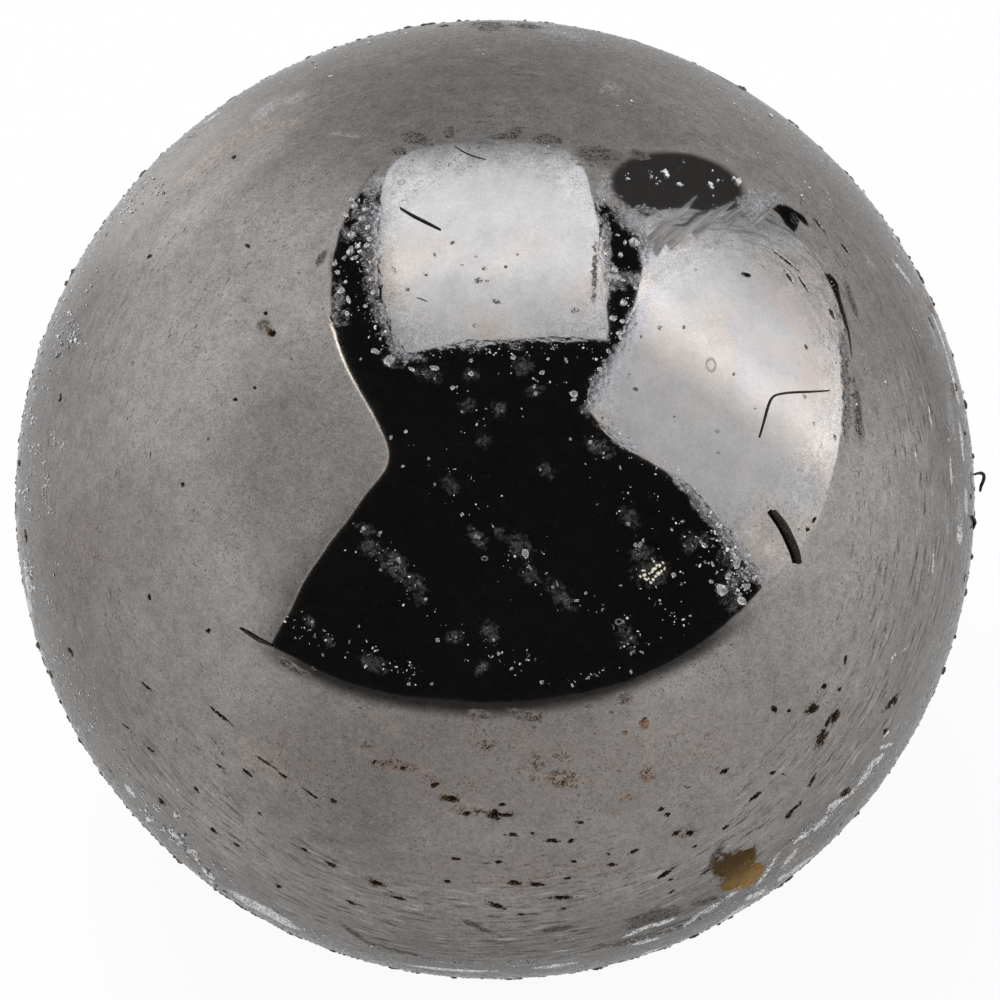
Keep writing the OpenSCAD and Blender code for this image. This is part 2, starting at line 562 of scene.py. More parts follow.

# %% [markdown]
# Everything that time has left on the ball is a mark: an oval at a place, so long, so wide and so
# far turned. Some dirt marks are painted shade along the edges of the lights and the black card that
# the steel mirrors. Some smear and stain marks at the top left are a painted reflection of the room's
# pale horizon band. Marks on the near side are named by where the camera sees them, in mm, with their
# size in thousandths of a mm and their tilt in degrees. The side that faces away gets its own marks
# from a seeded draw, so the ball is as worn behind as it is in front.

# %% Pits
PITS = [  # across and height in mm, length and width in thousandths of a mm, tilt in degrees
    (1.397, -2.468, 110, 12, 32), (2.145, 1.82, 130, 12, -50), (2.32, 1.66, 95, 12, -52),
    (2.65, -1.34, 60, 16, 60), (1.85, -1.39, 55, 40, 90), (1.95, -1.4, 30, 20, 0),
    (2.1, -1.39, 100, 50, 35), (2.18, -1.24, 50, 25, 50), (2.25, -1.44, 105, 45, 62),
    (2.16, -1.58, 125, 50, 65), (2.2, -1.48, 70, 20, 65), (2.32, -1.06, 60, 15, 80),
    (2.28, -1.26, 35, 15, 60), (2.63, -1.34, 145, 28, 52), (2.58, -1.54, 55, 20, 60),
    (1.84, -1.81, 40, 20, 30), (1.91, -1.82, 22, 16, 0), (2.1, -1.86, 95, 20, 60),
    (1.72, -1.97, 90, 22, 42), (1.98, -2.05, 140, 20, 45), (1.94, -2.1, 50, 22, 35),
    (2.32, -1.94, 80, 35, 40), (1.52, -1.8, 70, 24, 38), (1.53, -2.17, 60, 14, 37),
    (2.11, -0.14, 40, 18, 60), (2.07, -0.2, 28, 20, 60), (0, -2.09, 80, 72, 0),
    (0.05, -2.02, 42, 16, 0), (0.11, -2.22, 68, 22, 0), (0.25, -2.21, 28, 16, 0),
    (0.38, -2.26, 88, 24, 0), (0.51, -2.26, 52, 20, 25), (0.56, -2.14, 56, 14, 0),
    (0.75, -2.35, 36, 18, 0), (0.77, -2.42, 66, 20, 5), (0.92, -2.33, 78, 20, 23),
    (1.1, -2.05, 46, 26, 25), (1.14, -2.09, 36, 20, 40), (1.2, -2.21, 75, 24, 35),
    (1.29, -2.21, 50, 40, 0), (1.32, -2.3, 50, 13, 27), (1.13, -2.48, 140, 22, 33),
    (1.17, -2.6, 54, 14, 25), (1.16, -2.52, 45, 11, 15), (0.52, -2.4, 42, 18, -10),
    (0.02, -2.4, 48, 20, 0), (0.13, -2.54, 106, 26, -3), (0.28, -2.55, 106, 26, 0),
    (0.48, -2.51, 66, 14, 10), (0.44, -2.64, 160, 26, 2), (0.01, -2.69, 112, 28, -18),
    (0.17, -2.75, 60, 14, 0), (0.45, -2.71, 42, 14, 0), (-0.3, -1.98, 110, 34, -8),
    (-0.19, -2.08, 54, 24, 0), (-0.4, -1.89, 52, 24, 20), (-0.8, -1.74, 40, 16, 40),
    (-0.61, -1.78, 40, 16, 0), (-1.07, -2, 46, 24, -20), (-1.08, -2.42, 86, 24, -25),
    (-1.44, -2.56, 54, 20, -35), (-0.96, -2.67, 60, 18, -25), (-0.79, -2.54, 98, 28, -15),
    (-0.64, -2.64, 80, 20, -15), (-0.26, -2.38, 66, 18, -5), (-0.32, -2.53, 52, 18, -5),
    (-1.87, -2.19, 48, 24, -40), (-1.48, 1.1, 55, 48, 0), (-1.52, 1.23, 28, 26, 0),
    (-2.29, 1.61, 34, 24, 45), (-2.07, 0.1, 32, 24, 80), (-1.72, 0.66, 26, 24, 0),
    (-2.88, 0.67, 54, 18, 80), (-2.29, -0.65, 46, 20, -70), (-1.9, -0.87, 34, 24, -45),
    (-2.81, -1.01, 60, 18, -60), (-1.73, 2.27, 34, 20, 45), (-1.64, 1.68, 34, 20, -30),
    (-1.59, 0.74, 22, 20, 0), (-1.82, -1.43, 180, 16, -40), (-2.31, -1.24, 100, 16, -40),
    (-2.43, -1.52, 90, 14, -42), (-1.52, -1.74, 150, 11, -33), (0.07, -2.09, 110, 22, 4),
    (1.66, 1.49, 60, 24, -15), (1.95, 1.47, 90, 11, -55), (2.04, 1.43, 110, 10, -58),
    (2.23, 1.23, 60, 22, -60), (1.93, 1.58, 180, 10, -38), (-2.28, -1.66, 55, 16, -35),
    (-1.64, -1.81, 100, 13, -40), (-1.98, -1.92, 45, 18, -55), (-2.21, -2, 60, 20, -45),
    (-1.4, -1.83, 110, 11, -34), (-1.22, -1.95, 120, 10, -36), (-1.71, -2.29, 55, 14, -35),
    (-1.26, -2.32, 60, 14, -30), (-1.56, -2.08, 50, 12, -45), (-1.82, -1.77, 60, 14, -30),
]
print(f"pits: {len(PITS)}")

# %% Spots and rings
SPOTS = [  # flat dark spots of dirt
    (0.53, 1.25, 60, 44, 0), (-0.28, 1.7, 44, 26, 20), (-0.4, 1.62, 40, 20, -45),
    (-0.67, 1.52, 60, 24, -50), (-0.13, 1.61, 32, 20, -40), (-0.07, 1.53, 44, 30, 0),
    (-0.11, 1.45, 60, 46, 0), (-0.05, 1.44, 40, 32, -60), (0.01, 1.31, 70, 34, -20),
    (-0.58, 1.39, 36, 28, 0), (-0.13, 1.15, 50, 30, 0), (0.07, 1.54, 30, 24, 0),
    (-0.46, 1.49, 40, 24, -30), (-0.22, 1.55, 30, 20, 0), (0.15, 1.62, 26, 20, 0),
    (-0.1, 2.26, 30, 20, 0), (1.09, 1.14, 40, 34, 90), (1.25, 1.14, 34, 28, 90),
    (0.97, 1.08, 36, 28, 90), (0.93, 1.16, 32, 24, 90), (0.89, 0.82, 46, 30, 50),
    (0.93, 0.73, 44, 30, -20), (1.58, 0.83, 34, 26, 60), (2.06, 1.01, 46, 24, -70),
    (2.05, 0.68, 40, 24, -50), (1.47, 0.45, 34, 26, 0), (2.11, 0.5, 32, 24, -80),
    (2.25, 0.41, 46, 24, -80), (1.48, 0.31, 28, 22, 0), (1.72, 0.6, 24, 18, 0), (1.19, 0.55, 24, 20, 0),
    (1.33, 1.52, 26, 18, 30), (0.62, -1.37, 60, 26, 0), (0.77, -1.41, 36, 26, 0),
    (0.26, -1.51, 34, 26, 0), (1.53, -0.3, 34, 26, 0), (-1.53, 1.15, 110, 90, 0),
    (-1.2, -1.12, 40, 24, -30), (-1.66, 1.32, 40, 30, 0), (-1.35, 0.93, 30, 22, 0),
    (-2.02, 1.44, 30, 24, 0), (-1.9, 0.4, 34, 24, 70), (-2.4, 0.9, 40, 24, 75), (-1.3, 1.5, 30, 22, 0),
]
RINGS = [  # rings where drops have dried
    (1.43, 0.89, 70, 96, 5), (-0.07, -0.39, 44, 34, 0), (0.82, -0.81, 50, 40, 0),
    (1.25, 2.32, 60, 40, 0), (-0.62, 2.1, 50, 34, 20),
]
print(f"spots: {len(SPOTS)}, rings: {len(RINGS)}")

# %% Stain, smears, wiped parts and a painted horizon band
TANNED_AND_HORIZON_BAND = [  # light brown stain; the first five, at the top left, are a painted reflection of the room's pinkish horizon band
    (-2.02, 2.15, 300, 70, 45), (-1.9, 2.26, 330, 90, 40), (-1.72, 2.38, 380, 110, 30),
    (-1.52, 2.45, 340, 80, 20), (-1.36, 2.49, 200, 40, 12), (0.18, -1.62, 300, 50, -10),
    (0.45, -1.85, 460, 60, -4), (-0.2, -2, 420, 40, -20), (-0.55, -1.78, 360, 50, -12),
    (1.02, -1.72, 70, 420, 0), (0.84, -1.96, 260, 40, 10), (-0.72, -1.5, 480, 50, -28),
    (-1, -1.62, 500, 40, -25), (1.96, -2.36, 200, 110, 50), (-1.55, -1.75, 420, 160, -35),
]
SMEARS_AND_HORIZON_BAND = [  # pale smears; the first three, at the top left, are a painted reflection of the room's pale horizon band
    (-1.52, 2.58, 300, 110, 35), (-1.32, 2.66, 280, 90, 18), (-0.98, 2.42, 420, 50, -4),
    (0.775, 2.72, 220, 150, 5), (3.02, 0.55, 420, 60, 100), (2.9, 1.1, 330, 40, 110),
    (2.5, 1.55, 300, 40, 125), (-0.1, 2.98, 220, 50, 0),
]
CLEAN = [  # the parts that have been wiped
    (0, 1.66, 1500, 1250, 0), (1.52, 0.78, 1500, 1900, -15), (1.2, 2.06, 1100, 640, 0),
]
STAIN = [  # broad brown stain
    (0.2, -1.66, 1500, 620, 0), (0.55, -1.8, 1500, 560, 5), (-0.36, -1.86, 1100, 480, -12),
    (-2.72, -0.33, 300, 620, 0), (1.35, -1.65, 700, 460, 30), (-1.3, -1.7, 900, 340, -35),
    (0.1, -2.5, 1800, 300, 0), (1.9, 1, 500, 700, 0),
]
print(f"stained: {len(TANNED_AND_HORIZON_BAND) + len(STAIN)}, smeared: {len(SMEARS_AND_HORIZON_BAND)}, wiped: {len(CLEAN)}")

# %% Film and salt
HAZE = [  # thin grey film
    (-0.3, 0.1, 110, 80, -50), (-0.08, 0.39, 90, 80, 0), (-0.12, -0.25, 140, 76, -50),
    (0.17, -0.32, 175, 120, -50), (0.23, -0.5, 110, 80, -40), (-0.67, -0.43, 200, 120, -55),
    (-0.56, -0.55, 200, 100, -35), (-0.83, -0.32, 115, 92, 0), (-0.85, -0.2, 120, 60, -25),
    (-0.81, -1.08, 175, 94, -25), (-0.03, -0.88, 120, 100, -60), (-0.27, -0.91, 92, 66, 0),
    (-1.23, -0.81, 76, 54, -40), (-1.1, -0.94, 68, 46, -60), (-0.09, -1.12, 106, 54, 50),
    (-0.5, -0.67, 80, 60, -45), (0.03, -0.22, 80, 60, -50), (0.69, 0.35, 175, 88, -35),
    (0.34, 0.19, 120, 68, -45), (0.89, -0.12, 132, 92, -40), (0.97, -0.35, 120, 100, 0),
    (0.43, -0.63, 220, 100, -45), (1.29, -0.29, 92, 126, 0), (1.38, -0.26, 86, 80, 0),
    (1.56, -0.61, 132, 226, 5), (1.55, -0.4, 146, 106, -40), (0.87, -0.91, 92, 146, 30),
    (-1.03, 1.21, 120, 106, 0), (-0.68, 0.9, 150, 60, -15), (-0.44, 0.83, 150, 80, -15),
    (-0.16, 0.83, 94, 80, 0), (-0.15, 1.02, 120, 80, -10), (0.14, 1.02, 120, 54, 0),
    (0.19, 0.88, 112, 100, 0), (-0.19, 0.62, 86, 80, 0), (0.03, 0.6, 86, 80, 0),
    (0.26, 0.72, 106, 54, 20), (1.03, -0.48, 200, 172, 0), (0.78, 1.47, 106, 66, 0),
]
FROST = [  # frosty salt
    (-0.82, 2.06, 220, 110, 65), (-0.84, 1.86, 280, 200, 80), (-0.81, 1.64, 270, 140, 88),
    (-0.8, 1.43, 250, 110, 88), (-0.75, 1.2, 250, 110, -76), (-0.66, 1.01, 220, 90, -60),
    (-0.57, 0.94, 190, 60, 5), (-0.96, 1.76, 130, 120, 0), (-1.03, 1.33, 90, 190, 0),
    (0.725, 1.62, 560, 84, 88), (3.08, -0.13, 300, 60, 92), (0.88, 1.86, 340, 130, -48),
    (1.01, 1.62, 300, 80, -70), (0.85, 1.46, 230, 100, 8), (0.93, 1.17, 480, 110, 64),
    (0.69, 0.75, 320, 110, 65), (0.84, 0.4, 360, 70, -35), (1.36, -0.04, 480, 80, -50),
    (1.6, -0.32, 420, 100, -52), (1.7, -0.5, 220, 120, 0), (-0.13, 1.03, 530, 30, 5),
    (0.43, 1.06, 460, 30, 0), (2.22, 1.22, 420, 24, -66), (2.33, 0.66, 790, 20, 92),
    (1.74, 1.98, 240, 100, 0), (0.71, 2.02, 240, 90, 80), (1.05, 1.9, 200, 50, -20),
]
LACE = [  # chains of white salt
    (2.629, -1.358, 150, 18, 43), (2.596, -1.55, 70, 14, 49), (2.589, -1.633, 130, 24, 20),
    (2.52, -1.738, 170, 40, 42), (2.445, -1.842, 150, 36, 51), (2.349, -1.946, 140, 26, 41),
    (2.248, -2.022, 140, 42, 41), (2.155, -2.146, 140, 36, 45), (2.04, -2.232, 180, 28, 36),
    (2.013, -2.434, 260, 30, 36), (1.801, -2.464, 290, 24, 56), (1.954, -2.375, 180, 26, 50),
    (1.901, -2.504, 70, 30, 40), (1.728, -2.62, 180, 36, 25), (1.576, -2.607, 160, 24, 37),
    (1.43, -2.706, 160, 28, 32), (1.305, -2.785, 160, 24, 35), (1.57, -2.752, 250, 28, 34),
    (0.94, -2.86, 240, 24, 24), (1.12, -2.8, 200, 24, 20), (1, -2.928, 200, 20, 15),
    (-1.576, -2.7, 490, 56, -28), (-2.24, -2.04, 70, 40, -45), (-2.285, -2.11, 60, 40, -45),
    (-2.106, -2.09, 60, 30, -45), (-2.13, -2.215, 120, 34, -45), (-2, -2.34, 120, 34, -45),
    (-1.9, -2.48, 130, 34, -45), (-1.4, -2.8, 260, 36, -26), (-2.42, -1.93, 120, 30, -52),
    (-3.1, -0.53, 260, 34, -82), (-3.085, -0.7, 120, 30, -78), (3.08, -0.23, 130, 44, 92),
    (2.7, 1.5, 240, 22, 128), (-0.298, -3.116, 660, 18, -4), (0.4, -3.09, 300, 24, 8),
    (3.035, 0.8, 380, 20, 104), (3.09, 0.4, 300, 18, 97), (2.945, 1.1, 300, 16, 110),
    (3.02, 0.18, 240, 14, 94), (2.88, 0.56, 200, 12, 99), (2.79, 0.28, 180, 11, 96),
    (2.7, -0.18, 160, 10, 94), (2.9, -0.42, 220, 12, 84), (3.12, -0.02, 200, 26, 91),
    (2.72, -0.98, 90, 12, 70), (2.64, -1.04, 120, 12, 65),
]
print(f"haze: {len(HAZE)}, frost: {len(FROST)}, chains of salt: {len(LACE)}")

# %% Rust, scabs, grime and painted shade
RUST = [
    (1.589, -2.421, 305, 185, 20), (1.629, -2.507, 280, 165, 15), (1.709, -2.461, 165, 100, 15),
    (1.669, -2.345, 160, 56, 32), (1.543, -2.56, 120, 80, 0), (1.5, -2.44, 150, 110, 0),
    (0.99, -1.487, 72, 86, 0), (0.86, -1.55, 44, 30, 0), (1, -1.865, 44, 60, 0),
]
SCAB = [  # brown lacy scabs
    (0.43, -1.86, 420, 110, -4), (0.3, -1.72, 110, 130, 0), (-0.3, -1.98, 190, 80, -12),
    (-0.38, -1.88, 130, 50, -50), (-0.66, -1.76, 260, 60, -6), (-0.15, -2.07, 200, 60, -8),
    (0.1, -2.09, 150, 50, 4), (0.43, -1.7, 200, 60, -20), (0.76, -2.06, 170, 50, -8),
    (0.89, -1.96, 170, 70, 10), (-0.79, -2.54, 160, 56, -15), (1.25, -2.2, 160, 80, 0),
    (0.6, -1.45, 130, 60, 0), (0.2, -1.43, 220, 60, -12), (-0.1, -1.42, 160, 50, -10),
    (-0.85, -1.62, 150, 60, -20), (1.03, -1.82, 120, 90, 0), (-0.05, -1.62, 120, 60, 0),
    (0.86, -1.32, 120, 90, 0), (-1.36, -1.1, 260, 50, -30),
]
GRIME_AND_SHADE = [  # dark greasy dirt, and painted shade along the edges of the lights and the black card that the steel mirrors
    (-0.64, 2.31, 110, 60, -10), (-0.51, 2.39, 220, 90, -15), (-0.3, 2.43, 90, 80, 80),
    (0.13, 2.43, 130, 90, 20), (0.02, 2.4, 240, 40, 0), (0.34, 2.39, 210, 80, -5),
    (0.67, 2.28, 310, 130, -5), (0.95, 2.28, 120, 60, -20), (-0.914, -2.885, 360, 30, -34),
    (-0.1, -2.838, 290, 30, -23), (-0.6, -3, 420, 24, -14), (1.04, -2.772, 400, 90, 16),
    (1.199, -2.83, 460, 40, 20), (1.397, -2.66, 220, 50, 15), (-0.04, 3.14, 240, 60, 0),
    (2.325, 0.74, 840, 56, 92), (2.4, 0.6, 500, 60, 96), (1.47, -2.35, 170, 60, 60),
    (-0.83, 2.13, 330, 30, 55), (0.43, -2.84, 280, 40, 10), (0.9, -2.92, 620, 40, 14),
    (-1.15, 1.6, 120, 40, 60), (2.36, 1.32, 240, 30, -70), (0.66, 1.5, 400, 30, 88),
]
print(f"rust: {len(RUST)}, scabs: {len(SCAB)}, grime: {len(GRIME_AND_SHADE)}")

# %% All the marks, near and far
KINDS = [  # name, near marks; and on the far side: how many, smallest, largest, seed of the draw
    ("pit", PITS, 110, 25, 110, 3), ("spot", SPOTS, 60, 25, 60, 14), ("ring", RINGS, 6, 50, 180, 15),
    ("tanned", TANNED_AND_HORIZON_BAND, 14, 100, 500, 19), ("smear", SMEARS_AND_HORIZON_BAND, 16, 200, 800, 17),
    ("clean", CLEAN, 4, 900, 1800, 18), ("haze", HAZE, 60, 60, 240, 4), ("frost", FROST, 14, 150, 500, 5),
    ("rust", RUST, 7, 60, 300, 6), ("scab", SCAB, 24, 80, 300, 16), ("stain", STAIN, 8, 500, 1400, 7),
    ("grime", GRIME_AND_SHADE, 10, 100, 500, 8), ("lace", LACE, 12, 60, 240, 9),
]
SEEN = 0.25  # how far towards the camera a spot faces, at least, if it is left to the near marks
FAR_OFF = -9.0  # how deep a point lies in a mark that is on the other side of the ball


def face_mark(across, height, long, wide, tilt):
    """A mark's middle on the ball and its two half axes, laid on the surface."""
    middle = on_face(across, height)[0]
    tiny = 0.01
    axes = []
    for size, turn in ((long, math.radians(tilt)), (wide, math.radians(tilt + 90))):
        step = on_face(across + tiny * math.cos(turn), height + tiny * math.sin(turn))[0] - middle
        axes.append(step / tiny * (size / 2000))
    return middle, axes[0], axes[1]


def hidden_marks(count, shortest, longest, seed):
    """Marks drawn at random on the side that the studio camera doesn't see."""
    dice = random.Random(seed)
    marks = []
    while len(marks) < count:
        spot = Vector([dice.gauss(0, 1) for _ in range(3)]).normalized()
        if spot.dot(toward) > SEEN:
            continue
        long = Vector([dice.gauss(0, 1) for _ in range(3)]).cross(spot).normalized()
        size = dice.uniform(shortest, longest) * MM / 2000
        marks.append((spot * BALL_R, long * size, long.cross(spot) * size * dice.uniform(0.35, 1.0)))
    return marks


def cover(points, marks, margin=0.0):
    """How deep in a mark each point is: 1 in its middle, 0 at its edge, which a margin widens."""
    best = np.full(len(points), FAR_OFF)
    for middle, long, wide in marks:
        long = np.array(long) * (1 + margin / long.length)
        wide = np.array(wide) * (1 + margin / wide.length)
        aside = points - np.array(middle)
        by_long, by_wide = aside @ long, aside @ wide
        cross = long @ wide
        square = (long @ long) * (wide @ wide) - cross * cross
        u = (by_long * (wide @ wide) - by_wide * cross) / square
        v = (by_wide * (long @ long) - by_long * cross) / square
        depth = 1 - np.hypot(u, v)
        depth[points @ np.array(middle) < 0] = FAR_OFF
        best = np.maximum(best, depth)
    return best


marks = {name: [face_mark(*mark) for mark in near] + hidden_marks(*far) for name, near, *far in KINDS}
FINE_KINDS = ["pit", "spot", "ring", "rust", "scab", "frost", "haze", "lace", "grime"]
print("marks:", ", ".join(f"{len(ovals)} {name}" for name, ovals in marks.items()))

# %% [markdown]
# The ball starts as an icosphere, because its triangles are nearly equal everywhere and a mirror
# shows every unevenness. Only where there are marks does it need more: those faces are split, again
# and again, and a Cast modifier presses the new points back onto the true sphere.


# %% Ball
FACE_EDGE = 0.12 * MM  # how long the icosphere's edges are, at most; each split halves them
MIRROR_ZONE = (-1.6, 2.5, -1.45, 2.55)  # left, right, bottom and top, in mm on the ball's face


def split(piece, wanted):
    """Split the faces whose middles are wanted, once, and press the new points back onto the sphere."""
    middles = np.empty(len(piece.data.polygons) * 3)
    piece.data.polygons.foreach_get("center", middles)
    bpy.ops.object.mode_set(mode="EDIT")
    bpy.ops.mesh.select_mode(type="FACE")
    bpy.ops.mesh.select_all(action="DESELECT")
    bpy.ops.object.mode_set(mode="OBJECT")
    piece.data.polygons.foreach_set("select", wanted(middles.reshape(-1, 3)))
    bpy.ops.object.mode_set(mode="EDIT")
    bpy.ops.mesh.subdivide(number_cuts=1, ngon=False)
    bpy.ops.mesh.select_all(action="SELECT")
    bpy.ops.mesh.quads_convert_to_tris()
    bpy.ops.object.mode_set(mode="OBJECT")
    press = piece.modifiers.new("press", "CAST")
    press.factor = 1.0
    press.use_radius_as_size = False
    press.size = BALL_R
    bpy.ops.object.modifier_apply(modifier=press.name)


def mirror_zone(points):
    """The part of the near side where the cards and lights show."""
    across, height, near = as_seen(points)
    left, right_end, bottom, top = MIRROR_ZONE
    return (near > 0) & (across > left) & (across < right_end) & (height > bottom) & (height < top)


def by_marks(points, kinds, margin):
    """Which points lie in a mark of these kinds, or within this margin of one."""
    return cover(points, [mark for kind in kinds for mark in marks[kind]], margin) > 0


ball = made_by(bpy.ops.mesh.primitive_ico_sphere_add, "steel_ball", subdivisions=6, radius=BALL_R)
split(ball, lambda points: mirror_zone(points) | by_marks(points, FINE_KINDS, FACE_EDGE))
split(ball, lambda points: by_marks(points, FINE_KINDS, FACE_EDGE / 2))
split(ball, lambda points: by_marks(points, ["pit", "spot", "ring", "rust"], FACE_EDGE / 4))
split(ball, lambda points: by_marks(points, ["pit", "ring"], FACE_EDGE / 8))
bpy.ops.object.shade_smooth()
print(f"ball: {len(ball.data.polygons)} faces")

# %% [markdown]
# Pits are real dents. Each point gets a weight for how deep in a pit it lies, and a Displace
# modifier pushes the points in by their weight. Rust is the other way round: it grows out of the
# steel as a crust a few thousandths of a millimetre thick. Ragged edges come from adding a little
# noise to the depth first.

# %% Pits and crust
PIT_DEPTH = 0.022 * MM
CRUST_HEIGHT = 0.006 * MM
RAGGED = 0.022 * MM  # size of the tongues along a mark's edge
PIT_RAGGED, RUST_RAGGED = 0.56, 0.24  # how far the tongues reach
RING_AT, RING_SHARPNESS = 0.15, 2.2  # where in its oval a ring runs, and how thin it is


def points_of(piece):
    """The places of a piece's points, as rows of x, y and z."""
    flat = np.empty(len(piece.data.vertices) * 3)
    piece.data.vertices.foreach_get("co", flat)
    return flat.reshape(-1, 3)


def soft_step(depth, low, high):
    """0 below the low value, 1 above the high one, and smooth between them."""
    part = np.clip((depth - low) / (high - low), 0, 1)
    return part * part * (3 - 2 * part)


def push(piece, weights, distance):
    """Move a piece's points along their normals, each by its weight."""
    group = piece.vertex_groups.new(name="push")
    for index in np.flatnonzero(weights > 0):
        group.add([int(index)], float(weights[index]), "REPLACE")
    press = piece.modifiers.new("push", "DISPLACE")
    press.vertex_group = group.name
    press.mid_level = 0.0
    press.strength = distance
    bpy.ops.object.modifier_apply(modifier=press.name)
    piece.vertex_groups.remove(piece.vertex_groups["push"])


def keep_for_shading(piece, name, values):
    """Store one number for each point, for the material to read."""
    kept = piece.data.attributes.new(name, "FLOAT", "POINT")
    kept.data.foreach_set("value", values.astype(np.float32))


points = points_of(ball)
ragged = [Vector(point) / RAGGED for point in points]
ragged = np.array([noise.noise(place) + 0.5 * noise.noise(place * 2.3) for place in ragged])
depths = {name: cover(points, ovals) for name, ovals in marks.items()}
depths["pit"] += PIT_RAGGED * ragged
depths["rust"] += RUST_RAGGED * ragged
depths["ring"] = 0.5 - RING_SHARPNESS * np.abs(depths["ring"] - RING_AT)
for name, depth in depths.items():
    keep_for_shading(ball, name, np.clip(0.5 + 0.8 * depth, 0, 1))  # 0.5 at the edge of a mark
push(ball, soft_step(depths["pit"], 0.0, 0.8), -PIT_DEPTH)
push(ball, soft_step(depths["rust"], 0.0, 0.6) * np.clip(0.6 + 0.6 * ragged, 0, 1), CRUST_HEIGHT)
print(f"pits {PIT_DEPTH / MM:.3f} mm deep, crust {CRUST_HEIGHT / MM:.3f} mm high")

# %% [markdown]
# The steel itself is a metal of a dark warm grey. Its polish has gone a little: a fine grain about
# a hundredth of a millimetre across makes it lighter and darker, and broad clouds follow where
# hands and oil have been. The ball has rolled, so faint streaks of wear run in rings round one
# axis. Over the steel lie, one after the other, brown stain, specks and dark threads, dirt and
# scabs, a thin grey film, smears, frosty salt, rust and what has gathered in the pits. Part of the
# dark dirt is painted shade along the mirrored edges of the lights and the black card. Part of the
# smears and tan stain at the top left is a painted reflection of the room's pale horizon band.
# Each mark's edge is torn by noise, and scabs and film gather in thin crooked lines, as they do where
# a drop has dried.

# %% Worn steel
steel, tree = new_material("worn_steel")
place = wire(tree, "TexCoord", output="Object")
mark = {name: wire(tree, "Attribute", {"attribute_name": name}, "Fac") for name in marks}


def torn(depth, noise_value, tear, edge=0.06):
    """A mark whose edge, where its depth is 0.5, is torn by noise."""
    level = (noise_value - 0.5).maths("MULTIPLY_ADD", tear, depth)
    return level.between(0.5 - edge, 0.5 + edge) * depth.between(0.02, 0.20)


def crooked_lines(noise_value, width):
    """Thin crooked lines, where the noise crosses its middle value."""
    return (noise_value - 0.5).maths("ABSOLUTE").between(width, width * 0.3)


def mean_of(*parts):
    """Half, plus what each noise departs from half, times its weight."""
    total = 0.5
    for noise_value, weight in parts:
        total = (noise_value - 0.5).maths("MULTIPLY_ADD", weight, total)
    return total


grain = cloud(place, 0.011 * MM, 3.0)
fine = cloud(place, 0.034 * MM, 4.0)
patchy = cloud(place, 0.120 * MM, 4.0)
wide = cloud(place, 0.400 * MM, 3.0)
broad = cloud(place, 1.300 * MM, 2.0)
specks = mean_of((grain, 1.0), (fine, 1.0))
print(f"noises: {len(tree.nodes)} nodes")

# %% Streaks of wear
WEAR_AXIS = (0.0, -0.64, 0.77)  # the ball rolled round this line, which points at the camera
WEAR_SIDE = (0.50, -0.66, -0.56)  # most of the streaks are on the side that faces this way
STREAKS_ROUND = 15.0  # a streak is about a fifth of a millimetre long
STREAKS_ACROSS = 105.0  # and a thirtieth of a millimetre wide
DASH_SCALE = 2.2  # the small dark dashes are so many times finer
by_axis = place.along(WEAR_AXIS)
cosine = by_axis * (1 / BALL_R)
turned = cosine.maths("ARCCOSINE") * STREAKS_ACROSS
outward = vectors("NORMALIZE", vectors("SUBTRACT", place, vectors("SCALE", WEAR_AXIS, by_axis)))
round_it, along_it = vectors("SCALE", outward, STREAKS_ROUND), vectors("SCALE", WEAR_AXIS, turned)
streak_place = vectors("ADD", round_it, along_it)
streaks = streak_place.noise(1.0, 3.0)
off_belt = cosine.maths("ABSOLUTE")
wiped = mark["clean"].between(0.45, 0.70)
slid = place.along(WEAR_SIDE).between(-0.3 * BALL_R, 0.6 * BALL_R).spread(0.25, 1.0)
worn = off_belt.between(0.78, 0.48) * slid * wide.between(0.30, 0.60) * wiped.spread(1.0, 0.1)
dark_streaks = streaks.between(0.59, 0.66) * worn
pale_streaks = streaks.between(0.37, 0.30) * worn
dashes = streak_place.noise(DASH_SCALE, 2.0).between(0.665, 0.70) * cosine.between(0.84, 0.70)
dashes = dashes * wide.between(0.42, 0.56) * wiped.spread(1.0, 0.0)
near_belt = off_belt.between(0.45, 0.18)
belt_grain = mean_of((fine, 1.2), (grain, 0.4), (patchy, 0.3))
print(f"with streaks: {len(tree.nodes)} nodes")

# %% Grain, stain and specks
polish = mean_of((grain, 1.4), (fine, 0.7), (patchy, 0.6), (wide, 0.4), (broad, 0.4))
polish = (polish - 0.5) * wiped.spread(1.0, 0.35) + 0.5
polish = ((streaks - 0.5) * worn).maths("MULTIPLY_ADD", -1.3, polish)
stained = mark["stain"] * patchy.between(0.35, 0.65)
pepper = cloud(place, 0.018 * MM, 2.0).between(0.62, 0.69) * wide.between(0.44, 0.64).most(stained)
pepper = pepper * wiped.spread(1.0, 0.1)
threads = crooked_lines(fine, 0.022) * patchy.between(0.52, 0.60)
threads = threads * mark["stain"].between(0.35, 0.70) * wiped.spread(1.0, 0.0)
dusty = near_belt * belt_grain.between(0.46, 0.55) * 0.80
soiled = mean_of((grain, 1.3), (fine, 0.4)).between(0.40, 0.60)
# dark greasy dirt, and painted shade along the mirrored edges of the lights and the black card
grime_and_shade_layer = torn(mark["grime"], mean_of((patchy, 1.0), (fine, 0.7)), 1.3, 0.28) * soiled.spread(0.42, 0.97)
scabby = torn(mark["scab"], mean_of((patchy, 1.0), (fine, 0.5)), 1.8, 0.25)
scab_line = crooked_lines(fine, 0.026).most(specks.between(0.425, 0.39))
scab_line = scab_line * patchy.between(0.42, 0.52) * scabby
scab_grain = scabby * specks.between(0.42, 0.64)
scab_colour = over((0.240, 0.135, 0.068), wide.between(0.42, 0.56), (0.340, 0.250, 0.180))
spotty = mark["spot"].between(0.35, 0.80) * specks.between(0.41, 0.52)
colour = over((0.150, 0.140, 0.134), polish, (0.390, 0.371, 0.357))
